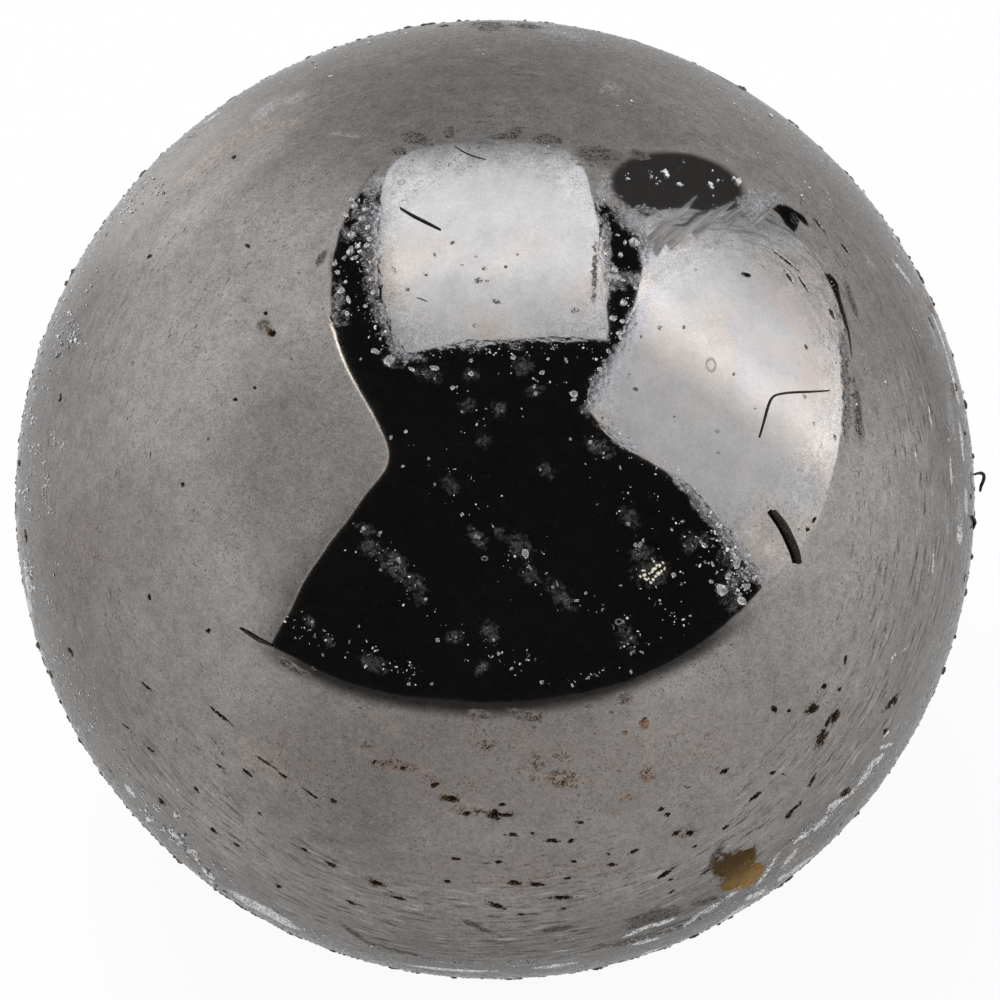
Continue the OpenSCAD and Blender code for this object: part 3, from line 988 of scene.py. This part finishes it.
# the grime layer here paints shade as well as dirt, along the mirrored edges of the lights and the black
# card
for amount, layer in (
        (stained * 0.45, (0.300, 0.240, 0.215)), (pepper * 0.75, (0.060, 0.050, 0.045)),
        (dark_streaks * 0.85, (0.060, 0.052, 0.048)), (threads * 0.75, (0.060, 0.048, 0.040)),
        (dusty, (0.190, 0.178, 0.166)), (dashes * 0.90, (0.040, 0.032, 0.026)),
        (grime_and_shade_layer, (0.032, 0.025, 0.018)), (scab_grain * 0.46, scab_colour),
        (scab_line * 0.95, (0.030, 0.020, 0.014)), (spotty * 0.90, (0.070, 0.054, 0.038))):
    colour = over(colour, amount, layer)
print(f"with grain, stain and specks: {len(tree.nodes)} nodes")

# %% Film and frost
hazy = torn(mark["haze"], fine, 1.8, 0.40)
film = hazy * specks.between(0.44, 0.62).spread(0.05, 0.15)
film = film.most(hazy * crooked_lines(fine, 0.018) * patchy.between(0.50, 0.62) * 0.60)
film = film.most(pale_streaks * 0.65).most(near_belt * belt_grain.between(0.37, 0.31) * 0.60)
ring = torn(mark["ring"], grain, 0.9, 0.15)
# smears and tan stain, and at the top left a painted reflection of the room's pale horizon band
smear = mark["smear"].between(0.45, 1.0) * specks.between(0.42, 0.62).spread(0.06, 0.32)
tan = torn(mark["tanned"], patchy, 1.0, 0.40) * specks.between(0.38, 0.68).spread(0.03, 0.30)
frosty = torn(mark["frost"], mean_of((patchy, 1.0), (fine, 0.7)), 1.8, 0.26)
salt = mean_of((grain, 1.2), (fine, 0.6)).between(0.38, 0.68).spread(0.06, 0.36)
salt = frosty * salt.most(specks.between(0.60, 0.66) * 0.55)
laced = torn(mark["lace"] - 0.08, fine, 0.8, 0.16)
lace = laced * crooked_lines(fine, 0.016).most(mean_of((grain, 1.2), (fine, 0.5)).between(0.49, 0.55))
# the smear and tan layers also paint the reflection of the room's horizon band at the top left
for amount, layer in (
        (film, (0.50, 0.51, 0.53)), (ring * 0.50, (0.300, 0.270, 0.240)), (smear, (0.68, 0.68, 0.70)),
        (tan, (0.500, 0.345, 0.245)), (salt, (0.50, 0.52, 0.58)), (lace, (0.98, 0.98, 1.0))):
    colour = over(colour, amount, layer)
print(f"with film and frost: {len(tree.nodes)} nodes")

# %% Rust and dirt
RUST_MIDDLE = on_face(1.62, -2.47)[0]
RUST_OLDER = (on_face(1.50, -2.34)[0] - RUST_MIDDLE).normalized()  # the browner side of the patch
from_patch = vectors("SUBTRACT", place, RUST_MIDDLE)
in_patch = vectors("LENGTH", from_patch).between(0.50 * MM, 0.40 * MM)
rusty = torn(mark["rust"], mean_of((patchy, 0.6), (fine, 0.8)), 1.0, 0.16)
loose = specks.between(0.38, 0.58).spread(0.15, 0.95) * mark["rust"].between(0.44, 0.80)
rusty = rusty * loose.most(in_patch)
fresh = mean_of((fine, 0.8), (patchy, 0.8)).between(0.38, 0.62)
older = (specks - 0.5).maths("MULTIPLY_ADD", 0.60 * MM, from_patch.along(RUST_OLDER))
older = older.between(-0.22 * MM, 0.20 * MM) * in_patch
rust_edge = mark["rust"].between(0.60, 0.48) * in_patch
rust_colour = over((0.190, 0.108, 0.032), fresh, (0.305, 0.185, 0.070))
rust_colour = over((0.250, 0.120, 0.055), in_patch, rust_colour)
rust_colour = over(rust_colour, older, (0.070, 0.040, 0.014))
rust_colour = over(rust_colour, rust_edge * 0.6, (0.045, 0.028, 0.014))
dirty = torn(mark["pit"], specks, 1.6)
dirt_colour = over((0.012, 0.009, 0.007), specks.between(0.50, 0.68), (0.085, 0.056, 0.035))
halo = mark["pit"].between(0.05, 0.50) * specks.between(0.42, 0.62)
for amount, layer in ((rusty, rust_colour), (halo * 0.5, (0.180, 0.130, 0.095)), (dirty, dirt_colour)):
    colour = over(colour, amount, layer)
print(f"with rust and dirt: {len(tree.nodes)} nodes")

# %% Metal, roughness and bump
BEADS = 0.036 * MM  # how far apart the lumps in frost, haze, rust and scabs are
RELIEF = 0.001 * MM
bare = 1.0
for layer, share in (
        (film, 1.0), (rusty, 1.0), (dirty, 1.0), (spotty, 0.8), (scab_line, 0.9), (scab_grain, 0.3),
        (grime_and_shade_layer, 0.9), (smear, 0.9), (tan, 0.9), (dusty, 0.9), (dashes, 0.9), (lace, 0.95), (ring, 0.5)):
    bare = layer.spread(1.0, 1.0 - share) * bare
dull = stained * 0.06 + frosty * 0.08 + bare.spread(0.69, 0.04)
gloss = 0.5
for layer in (rusty, dirty, scab_line, grime_and_shade_layer, dashes):
    gloss = layer.spread(1.0, 0.1) * gloss
beads = wire(tree, "TexVoronoi", None, "Distance", Vector=place, Scale=1 / BEADS)
beads = beads * beads
relief = wide * 0.30
for name, height in (("frost", -0.3), ("haze", -0.3), ("rust", 3.0), ("scab", -0.6)):
    relief = (mark[name].between(0.40, 0.70) * beads).maths("MULTIPLY_ADD", height, relief)
fill(tree.nodes["Principled BSDF"], Base_Color=colour, Metallic=bare * salt.spread(1.0, 0.0),
     Roughness=dull, Specular_IOR_Level=gloss, Specular_Tint=(0.62, 0.62, 0.62, 1),
     Normal=rough_skin(relief, RELIEF))
ball.data.materials.append(steel)
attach(ball, "root")
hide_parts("ball")
print(f"steel: {len(tree.nodes)} nodes")

# %% [markdown]
# Dust and salt lie on the steel as crumbs a few hundredths of a millimetre across. For each piece
# one crumb is modelled, a small rough stone with twenty faces, or with eighty where it shows as a
# smooth drop. It is copied to every place on a list, each copy turned and squeezed at random. Dust
# lies along drifts where oil has held it: a drift is a line on the ball's face with a width, a
# count and a largest size. The belt on which the ball rolled is the dirtiest part, so fine dust and
# dark grit lie all round it.

# %% Drifts of dust
DRIFTS = [  # from, to, width in mm, count, largest in thousandths of a mm
    ((-0.88, 1.98), (-0.84, 1.6), 0.18, 34, 26), ((-0.84, 1.6), (-0.82, 1.2), 0.14, 30, 24),
    ((-1.02, 1.6), (-1.02, 1.15), 0.06, 12, 28), ((-0.82, 1.2), (-0.66, 0.92), 0.08, 30, 24),
    ((-0.6, 0.97), (0.7, 1.02), 0.05, 60, 20), ((0.7, 2.1), (0.74, 1.1), 0.06, 50, 22),
    ((0.8, 1.95), (0.98, 1.55), 0.16, 30, 20), ((0.78, 1.55), (0.86, 1.1), 0.12, 20, 22),
    ((0.8, 1.1), (0.62, 0.62), 0.08, 34, 26), ((0.64, 0.55), (1.4, 0), 0.05, 60, 20),
    ((1.36, -0.05), (1.72, -0.55), 0.08, 60, 36), ((1.66, -0.4), (1.62, -0.72), 0.12, 34, 40),
    ((-0.6, 0.85), (0.7, 0.85), 0.3, 18, 24), ((-0.7, 0.62), (0.2, 0.5), 0.26, 10, 20),
    ((-0.92, -0.17), (-0.55, -0.6), 0.14, 26, 20), ((-0.55, -0.55), (-0.25, -0.95), 0.18, 16, 18),
    ((-0.45, 0.36), (-0.05, -0.1), 0.18, 22, 18), ((-0.1, -0.15), (0.26, -0.52), 0.18, 18, 20),
    ((0.25, -0.5), (0.72, -0.74), 0.18, 14, 20), ((0.62, 0.4), (0.98, -0.1), 0.18, 18, 20),
    ((0.9, -0.15), (1.15, -0.62), 0.2, 20, 22), ((1.2, -0.12), (1.52, -0.5), 0.12, 22, 34),
    ((-1.38, -0.74), (-1.05, -0.98), 0.12, 26, 26), ((-0.98, -0.96), (-0.4, -1.22), 0.1, 34, 28),
    ((-0.2, -0.9), (0.2, -1.1), 0.14, 18, 28), ((0.35, -1.2), (0.92, -1.12), 0.06, 14, 26),
    ((0.8, -0.8), (1.02, -1.02), 0.1, 14, 32), ((1.05, -0.6), (1.25, -0.98), 0.12, 12, 24),
    ((0.85, 2.1), (1.6, 2.1), 0.1, 9, 36), ((2.2, 1.5), (2.38, 0.3), 0.06, 60, 26),
    ((1.15, 1.92), (1.75, 1.9), 0.08, 24, 20), ((-0.7, 2.2), (0.6, 2.36), 0.05, 26, 22),
    ((2.61, -1.67), (2.33, -1.98), 0.035, 110, 18), ((2.33, -1.99), (1.97, -2.27), 0.03, 240, 19),
    ((2, -2.34), (1.91, -2.44), 0.025, 60, 17), ((1.85, -2.37), (1.72, -2.59), 0.025, 130, 18),
    ((1.64, -2.57), (1.245, -2.83), 0.022, 300, 18), ((1.24, -2.83), (0.84, -2.96), 0.02, 110, 15),
    ((2.62, -1.8), (2.16, -2.36), 0.05, 120, 16), ((2.06, -2.42), (1.46, -2.8), 0.06, 240, 20),
    ((-2.3, -2.1), (-2.02, -2.28), 0.05, 30, 28), ((-2.02, -2.28), (-1.72, -2.56), 0.05, 40, 26),
    ((-1.75, -2.62), (-0.9, -3.02), 0.03, 90, 26), ((-0.9, -3.02), (0.6, -3.11), 0.02, 120, 24),
    ((-3.07, 0.9), (-3.02, -0.75), 0.14, 110, 26), ((-2.93, 1.3), (-2.89, 1.12), 0.03, 26, 34),
    ((-3.05, 0.9), (-3, 0.72), 0.03, 22, 32), ((-3.1, 0.62), (-3.06, 0.5), 0.03, 26, 34),
    ((-3.09, 0.4), (-3, 0.28), 0.04, 28, 32), ((-2.92, 0.44), (-2.86, 0.34), 0.03, 18, 30),
    ((-2.99, 0.26), (-2.96, 0.08), 0.03, 26, 30), ((-3.13, 0.08), (-3.08, -0.08), 0.03, 46, 36),
    ((-2.98, 0.02), (-2.93, -0.1), 0.02, 16, 28), ((-3.12, -0.4), (-3.06, -0.62), 0.03, 60, 38),
    ((-2.98, -0.64), (-2.93, -0.74), 0.02, 16, 30), ((-2.93, -0.95), (-2.35, -2), 0.1, 160, 26),
    ((-2.84, 1.26), (-2.76, 1.02), 0.05, 56, 36), ((-2.36, -2), (-1.95, -2.45), 0.05, 60, 40),
    ((0.6, 2.9), (1.9, 2.2), 0.35, 40, 22), ((-2.52, 1.88), (-2.22, 2.14), 0.12, 80, 32),
    ((-2.97, 0.9), (-2.57, 1.85), 0.1, 90, 26), ((3.06, 0.02), (3.1, -0.3), 0.03, 40, 26),
    ((3.02, 0.5), (2.96, -0.9), 0.1, 60, 18), ((2.55, 1.85), (3.06, 0.7), 0.03, 40, 22),
    ((1.3, 2.86), (2.4, 2.02), 0.02, 50, 20), ((2.45, 1.1), (2.7, -0.2), 0.12, 40, 22),
]
print(f"drifts: {len(DRIFTS)}")

# %% Crumbs, drops and chips, one by one
CRUMBS = [  # across and height in mm, size in thousandths of a mm
    (-0.95, 1.98, 50), (-0.92, 1.82, 34), (-1, 1.6, 40), (-0.83, 1.57, 34), (-1.05, 1.51, 28),
    (-0.82, 1.46, 46), (-0.81, 1.37, 42), (-0.98, 1.23, 38), (-0.89, 0.93, 24), (-0.4, 0.8, 30),
    (-0.28, 0.74, 34), (-0.16, 0.83, 34), (-0.06, 0.6, 30), (-0.22, 0.58, 26), (0.26, 0.75, 36),
    (0.27, 0.7, 26), (0.35, 0.93, 28), (0.52, 0.66, 36), (0.62, 0.72, 32), (0.63, 0.64, 34),
    (0.86, 1.7, 48), (0.81, 1.75, 34), (0.85, 1.45, 38), (0.84, 1.18, 42), (0.82, 1.1, 40),
    (-0.69, 0.41, 26), (-0.59, 0.45, 34), (-0.61, 0.22, 28), (-0.4, 0.1, 28), (-0.44, 0.27, 22),
    (-0.22, -0.1, 24), (0.09, -0.37, 32), (0.1, -0.34, 22), (0.23, -0.45, 40), (0.34, -0.49, 22),
    (0.41, -0.56, 36), (0.38, -0.58, 24), (0.54, -0.67, 30), (0.6, -0.62, 28), (0.71, -0.73, 28),
    (-0.76, -0.22, 26), (-0.87, -0.19, 32), (-0.94, -0.16, 28), (-0.63, -0.41, 28), (-0.53, -0.57, 28),
    (-0.46, -0.66, 26), (-0.38, -0.93, 28), (-0.9, -0.84, 22), (-1.13, -0.87, 24), (-1.21, -0.81, 28),
    (-1.14, -1.03, 28), (-0.85, -0.94, 28), (-0.74, -1.09, 28), (-0.57, -1.22, 28), (-0.42, -1.22, 34),
    (-1.92, -0.75, 30), (0.5, 0.4, 22), (0.63, 0.38, 28), (0.72, 0.31, 24), (0.83, 0.21, 30),
    (0.3, 0.2, 28), (0.88, -0.16, 36), (0.93, -0.3, 36), (0.98, -0.27, 28), (1.17, -0.2, 28),
    (1.44, -0.43, 36), (1.47, -0.48, 20), (1.36, -0.28, 28), (0.83, -0.57, 24), (0.85, -0.81, 28),
    (0.9, -1.02, 28), (0.97, -1.01, 34), (1.29, -0.77, 20), (0.9, -1.14, 34), (0.51, -1.23, 28),
    (0.62, -1.18, 28), (-0.01, -0.93, 22), (0.11, -1.12, 28), (0.21, -1.06, 28), (0.31, -1.21, 28),
    (-2.6, -2.05, 30), (-1.6, 2.75, 30), (0.73, 1.63, 50), (0.735, 1.57, 40), (1.66, -0.52, 44),
    (1.62, -0.63, 46),
]
DROPS = [  # the same for rounder dried drops
    (-0.93, 1.94, 70), (-0.9, 1.98, 40), (-0.86, 1.92, 44), (-0.81, 1.9, 50), (-0.83, 1.72, 60),
    (-0.85, 1.68, 44), (-0.96, 1.64, 70), (-0.79, 1.6, 60), (-1.06, 1.56, 50), (-1.04, 1.5, 44),
    (-0.84, 1.52, 44), (-0.99, 1.44, 40), (-0.88, 1.86, 70), (-0.95, 1.75, 60), (-0.84, 1.8, 54),
    (-0.99, 1.88, 54), (-0.93, 1.6, 60), (-0.97, 1.32, 80), (-1.02, 1.38, 60), (-0.86, 1.28, 44),
    (-0.79, 0.98, 70), (-0.7, 0.92, 80), (-0.55, 0.86, 70), (-0.4, 0.87, 60), (-0.16, 0.92, 54),
    (0.12, 0.94, 50), (0.31, 0.84, 60), (0.47, 0.92, 50), (0.92, 1.7, 90), (0.83, 1.62, 60),
    (0.79, 1.52, 70), (0.93, 1.4, 60), (0.85, 1.3, 56), (0.78, 1.2, 60), (0.83, 1.07, 54),
    (0.75, 0.98, 60), (0.69, 0.86, 54), (-0.12, -0.25, 60), (0.2, -0.36, 60), (-0.64, -0.4, 50),
    (0.52, 0.7, 50), (1.6, -0.42, 90), (1.54, -0.51, 70), (1.5, -0.6, 110), (1.63, -0.67, 70),
    (1.67, -0.58, 60), (1.38, -0.3, 54), (1.18, -0.5, 46), (0.96, -0.3, 54),
]
CHIPS = [  # the same for chips of white dust
    (1.125, 2.165, 44), (1.135, 2.145, 50), (1.215, 2.09, 34), (1.23, 2.08, 30), (1.425, 2.085, 40),
    (1.435, 2.065, 36), (1.475, 2.11, 34), (1.58, 2.12, 46), (1.605, 2.1, 52), (0.99, 1.95, 34),
    (1.44, 2.175, 22), (2.03, 2.01, 30), (2.04, 1.985, 36), (2.03, 1.965, 26), (1.1, 2.17, 20),
    (1.62, 2.125, 24), (-0.91, 1.67, 46), (-0.895, 1.64, 34), (-2.238, -2.044, 60), (-2.285, -2.11, 60),
    (-2.3, -2.095, 44), (-2.113, -2.09, 40), (-2.1, -2.11, 34), (-2.146, -2.189, 46),
    (-2.095, -2.225, 40), (-2.06, -2.223, 50), (-2.075, -2.26, 44), (-2.02, -2.322, 50),
    (-1.99, -2.35, 40), (-1.974, -2.375, 46), (-1.914, -2.455, 60), (-1.96, -2.48, 36),
    (-1.874, -2.521, 50), (-1.845, -2.56, 44), (-1.79, -2.6, 50), (-1.74, -2.61, 40), (-3, 0.98, 44),
    (-2.87, 1.03, 34), (-2.83, 1.01, 40), (-2.9, 0.96, 56), (-2.89, 1.08, 30), (-2.82, 1.06, 26),
    (-3.05, 0.74, 40),
]
GOLD_CRUMBS = [  # the same for crumbs of brass
    (1.09, -0.44, 40), (1.05, -0.46, 44), (0.98, -0.47, 32), (1, -0.53, 40), (1.06, -0.51, 42),
    (1.03, -0.55, 32), (1.11, -0.42, 28), (1.08, -0.49, 36), (0.96, -0.51, 26), (1.02, -0.49, 30),
    (1.12, -0.46, 24), (1.05, -0.41, 22), (1.07, -0.435, 30), (1.04, -0.48, 34), (0.99, -0.5, 28),
    (1.015, -0.525, 30), (1.045, -0.53, 26), (1.1, -0.475, 22),
]
RIM_GRIT = [  # the same for grit that sticks out of the outline
    (-3.04, 0.94, 50), (-1.33, 2.9, 50), (3.05, 0.74, 40), (3.11, 0.44, 36), (3.15, 0.02, 30),
    (3.11, -0.52, 30), (-3.15, 0.24, 30), (-2.94, -1.16, 40),
]
print(f"one by one: {sum(map(len, (CRUMBS, DROPS, CHIPS, GOLD_CRUMBS, RIM_GRIT)))}")

# %% Places for crumbs
SEEN_DUST = 0.3  # how far towards the camera a spot faces, at least, if it is left to the drifts
BELT_DIRTIEST = math.radians(230)  # how far round the belt its dirtiest part is
BELT_LEAST = 0.40  # how much of that dirt its cleanest part has
HEAP_ROUND, HEAP_ACROSS = 0.012, 0.008  # how far a heap spreads on the belt, in radians


def drift_places(drifts, seed):
    """Places for clumps of crumbs along these drifts, thick in a drift's middle and thin aside."""
    dice = random.Random(seed)
    places = []
    for (x0, y0), (x1, y1), width, count, largest in drifts:
        run = math.hypot(x1 - x0, y1 - y0)
        for _ in range(count):
            along, aside = dice.random(), dice.gauss(0, width / 2)
            size = largest * (0.30 + 0.70 * dice.random() ** 3)
            x = x0 + (x1 - x0) * along - (y1 - y0) / run * aside
            y = y0 + (y1 - y0) * along + (x1 - x0) / run * aside
            places.append((x, y, size))
            for _ in range(dice.randint(0, 2)):
                reach = size / 1000 * 0.7
                beside = (x + dice.gauss(0, reach), y + dice.gauss(0, reach))
                places.append((*beside, size * dice.uniform(0.3, 0.8)))
    return places


def face_spots(places):
    """These places on the ball's face as points on its surface, with their sizes."""
    return [(on_face(across, height)[0], size) for across, height, size in places
            if math.hypot(across, height) < BALL_R / MM]


def far_spots(count, smallest, largest, seed):
    """Spots drawn at random on the side that faces away."""
    dice = random.Random(seed)
    spots = []
    while len(spots) < count:
        spot = Vector([dice.gauss(0, 1) for _ in range(3)]).normalized()
        if spot.dot(toward) < SEEN_DUST:
            spots.append((spot * BALL_R, dice.uniform(smallest, largest)))
    return spots


def belt_spots(count, spread, smallest, largest, seed, heap=1):
    """Spots, in heaps, on a belt round the axis that the ball rolled on; most lie low and left."""
    dice = random.Random(seed)
    axis = Vector(WEAR_AXIS).normalized()
    start = Vector((1, 0, 0))
    side = axis.cross(start).normalized()
    spots = []
    while len(spots) < count:
        turn, off = dice.uniform(0, math.tau), dice.gauss(0, math.radians(spread))
        low = 0.5 + 0.5 * math.cos(turn - BELT_DIRTIEST)
        if dice.random() > BELT_LEAST + (1 - BELT_LEAST) * low ** 1.5:
            continue
        for _ in range(dice.randint(1, heap)):
            around, across = turn + dice.gauss(0, HEAP_ROUND), off + dice.gauss(0, HEAP_ACROSS)
            outward = start * math.cos(around) + side * math.sin(around)
            spot = outward * math.cos(across) + axis * math.sin(across)
            spots.append((spot * BALL_R, smallest + (largest - smallest) * dice.random() ** 2))
    return spots


# %% Salt, drops, grit and brass dust
salt_and_dust = speckled(
    "salt_and_dust", 0.010, (0.35, 0.70), [(0.96, 0.96, 0.98), (0.62, 0.62, 0.62)], 0.002,
    Roughness=0.12, IOR=1.45)
tone = wire(salt_and_dust.node_tree, "Attribute", {"attribute_name": "tone"}, "Fac")
fill(salt_and_dust.node_tree.nodes["Principled BSDF"], Transmission_Weight=tone.between(0.65, 0.25))
dried_drop = speckled(
    "dried_drop", 0.020, (0.45, 0.70), [(1.0, 1.0, 1.0), (0.78, 0.76, 0.72)], 0.0008,
    Roughness=0.04, IOR=1.42, Transmission_Weight=0.82)
dark_grit = speckled(
    "dark_grit", 0.012, (0.40, 0.65), [(0.028, 0.022, 0.017), (0.170, 0.138, 0.108)], 0.003,
    Roughness=0.6)
pale_brass = speckled(
    "pale_brass_dust", 0.012, (0.35, 0.70), [(0.82, 0.75, 0.54), (0.99, 0.98, 0.93)], 0.0,
    Roughness=0.45)
print(f"crumb materials: {salt_and_dust.name}, {dried_drop.name}, {dark_grit.name}, {pale_brass.name}")

# %% Crumbs
LUMPS = 2.5  # how many lumps there are across a crumb


def strew(name, spots, seed, material, height, rounds=1, stretch=1.0, lift=0.25, uneven=0.8):
    """One piece made of copies of a crumb at these spots; stretched ones lie along the belt."""
    piece = made_by(bpy.ops.mesh.primitive_ico_sphere_add, name, subdivisions=rounds, radius=0.5)
    crumb = points_of(piece)
    corners = [tuple(face.vertices) for face in piece.data.polygons]
    dice = random.Random(seed)
    wander = 1.0 if stretch == 1 else 0.1
    rows, faces, tones = [], [], []
    for spot, size in spots:
        outward = spot.normalized()
        sideways = Vector(WEAR_AXIS).cross(outward).normalized()
        frame_there = Matrix((sideways, outward.cross(sideways), outward)).transposed()
        turn = np.array(frame_there @ Matrix.Rotation(dice.uniform(-math.pi, math.pi) * wander, 3, "Z"))
        squeeze = [stretch * dice.uniform(0.4, 1.1), dice.uniform(0.3, 0.9)]
        squeeze.append(height * dice.uniform(0.4, 1.1))
        phase = Vector([dice.uniform(0, 50) for _ in range(3)])
        lumps = [1 + uneven * noise.noise(Vector(corner) * LUMPS + phase) for corner in crumb]
        across = size * MM / 1000
        shape = (crumb * np.array(lumps)[:, None] * squeeze) @ turn.T * across
        faces += [tuple(index + len(rows) for index in face) for face in corners]
        rows += list(shape + np.array(spot + outward * (across * height * lift)))
        tones += [dice.random()] * len(crumb)
    piece.data.clear_geometry()
    piece.data.from_pydata(rows, [], faces)
    keep_for_shading(piece, "tone", np.array(tones))
    if rounds > 1:
        bpy.ops.object.shade_smooth()
    piece.data.materials.append(material)
    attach(piece, "root")
    print(f"{name}: {len(spots)} crumbs, {len(piece.data.polygons)} faces")


face_drops = face_spots(CRUMBS + DROPS)
face_dust = face_spots(drift_places(DRIFTS, seed=11) + CHIPS * 2)  # a chip is two crumbs at one place
belt_dust = belt_spots(2400, 3, 8, 26, seed=23, heap=6) + belt_spots(1500, 13, 7, 22, seed=24, heap=14)
belt_grit = belt_spots(640, 1.9, 16, 50, seed=26) + face_spots(RIM_GRIT)
far_drops = far_spots(60, 20, 70, seed=20)
far_dust = far_spots(500, 10, 26, seed=12)
strew("dried_drops", face_drops + far_drops, 21, dried_drop, 0.40, rounds=2, uneven=0.60)
strew("dust_crumbs", face_dust + far_dust, 22, salt_and_dust, 0.6)
strew("belt_dust", belt_dust, 25, salt_and_dust, 0.6, stretch=1.5, lift=0.0)
strew("belt_grit", belt_grit, 27, dark_grit, 0.6, stretch=1.7, lift=0.1)
strew("brass_crumbs", face_spots(GOLD_CRUMBS), 28, pale_brass, 0.7)

# %% [markdown]
# Lint is thinner than a hair on the steel, but it is the sharpest dark line there. Each piece of
# lint is a path along listed places on the ball's face, given a round section that tapers to
# its ends, and then made a mesh. It lies on the ball: its middle is a little less than half its own
# thickness above the surface.

# %% Lint
LINT = {  # places in mm on the ball's face, thickness in thousandths of a mm, taper at its ends
    "lint_bent": ([(1.75, 0.41), (1.785, 0.53), (1.81, 0.63), (1.84, 0.685), (1.89, 0.7), (1.98, 0.71),
        (2.1, 0.712), (2.21, 0.72)], 14, 0.6),
    "lint_thick": ([(1.83, -0.08), (1.88, -0.14), (1.92, -0.205), (1.955, -0.28), (1.985, -0.35),
        (2, -0.42)], 50, 0.75),
    "lint_left": ([(-1.69, -0.85), (-1.63, -0.885), (-1.58, -0.92), (-1.53, -0.945),
        (-1.47, -0.97)], 22, 0.35),
    "lint_top": ([(-0.63, 1.93), (-0.56, 1.885), (-0.5, 1.855), (-0.43, 1.82),
        (-0.36, 1.785)], 18, 0.5),
    "lint_faint": ([(-0.27, 2.34), (-0.21, 2.3), (-0.14, 2.27), (-0.06, 2.25)], 7, 0.4),
    "lint_short": ([(-0.52, 1.335), (-0.49, 1.33), (-0.45, 1.31)], 8, 0.4),
    "lint_rim": ([(3.165, 0.165), (3.205, 0.18), (3.232, 0.16), (3.222, 0.115), (3.205, 0.085),
        (3.203, 0.05)], 24, 0.6),
    "lint_chip": ([(3.15, -0.11), (3.165, -0.135), (3.168, -0.16), (3.158, -0.19)], 26, 0.5),
}
dark_lint = speckled(
    "dark_lint", 0.012, (0.45, 0.75), [(0.012, 0.011, 0.010), (0.075, 0.064, 0.052)], 0.003,
    detail=3.0, Roughness=0.75, Specular_IOR_Level=0.25)
SUNK = 0.8  # a lint's middle is this many times its radius above the ball


def lay_lint(name, route, thick, taper):
    """One piece of lint that lies along this route."""
    piece = made_by(bpy.ops.curve.primitive_nurbs_path_add, name)
    curve = piece.data
    curve.splines.clear()
    path = curve.splines.new("NURBS")
    path.points.add(len(route) - 1)
    radius = thick * MM / 2000
    for index, (point, (across, height)) in enumerate(zip(path.points, route)):
        spot = on_face(across, height)[0]
        point.co = (*(spot + spot.normalized() * radius * SUNK), 1)
        point.radius = taper if index in (0, len(route) - 1) else 1.0
    path.order_u = 3
    path.use_endpoint_u = True
    path.resolution_u = 6
    curve.bevel_depth = radius
    curve.bevel_resolution = 2
    curve.use_fill_caps = True
    bpy.ops.object.convert(target="MESH")
    bpy.ops.object.mode_set(mode="EDIT")
    bpy.ops.mesh.select_all(action="SELECT")
    bpy.ops.mesh.remove_doubles(threshold=1e-7)
    bpy.ops.mesh.normals_make_consistent(inside=False)
    bpy.ops.object.mode_set(mode="OBJECT")
    bpy.ops.object.shade_smooth()
    piece.data.materials.append(dark_lint)
    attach(piece, "root")


for name, (route, thick, taper) in LINT.items():
    lay_lint(name, route, thick, taper)
print(f"lint: {len(LINT)} pieces")

# %% Finish
bpy.context.scene.view_settings.view_transform = "Standard"
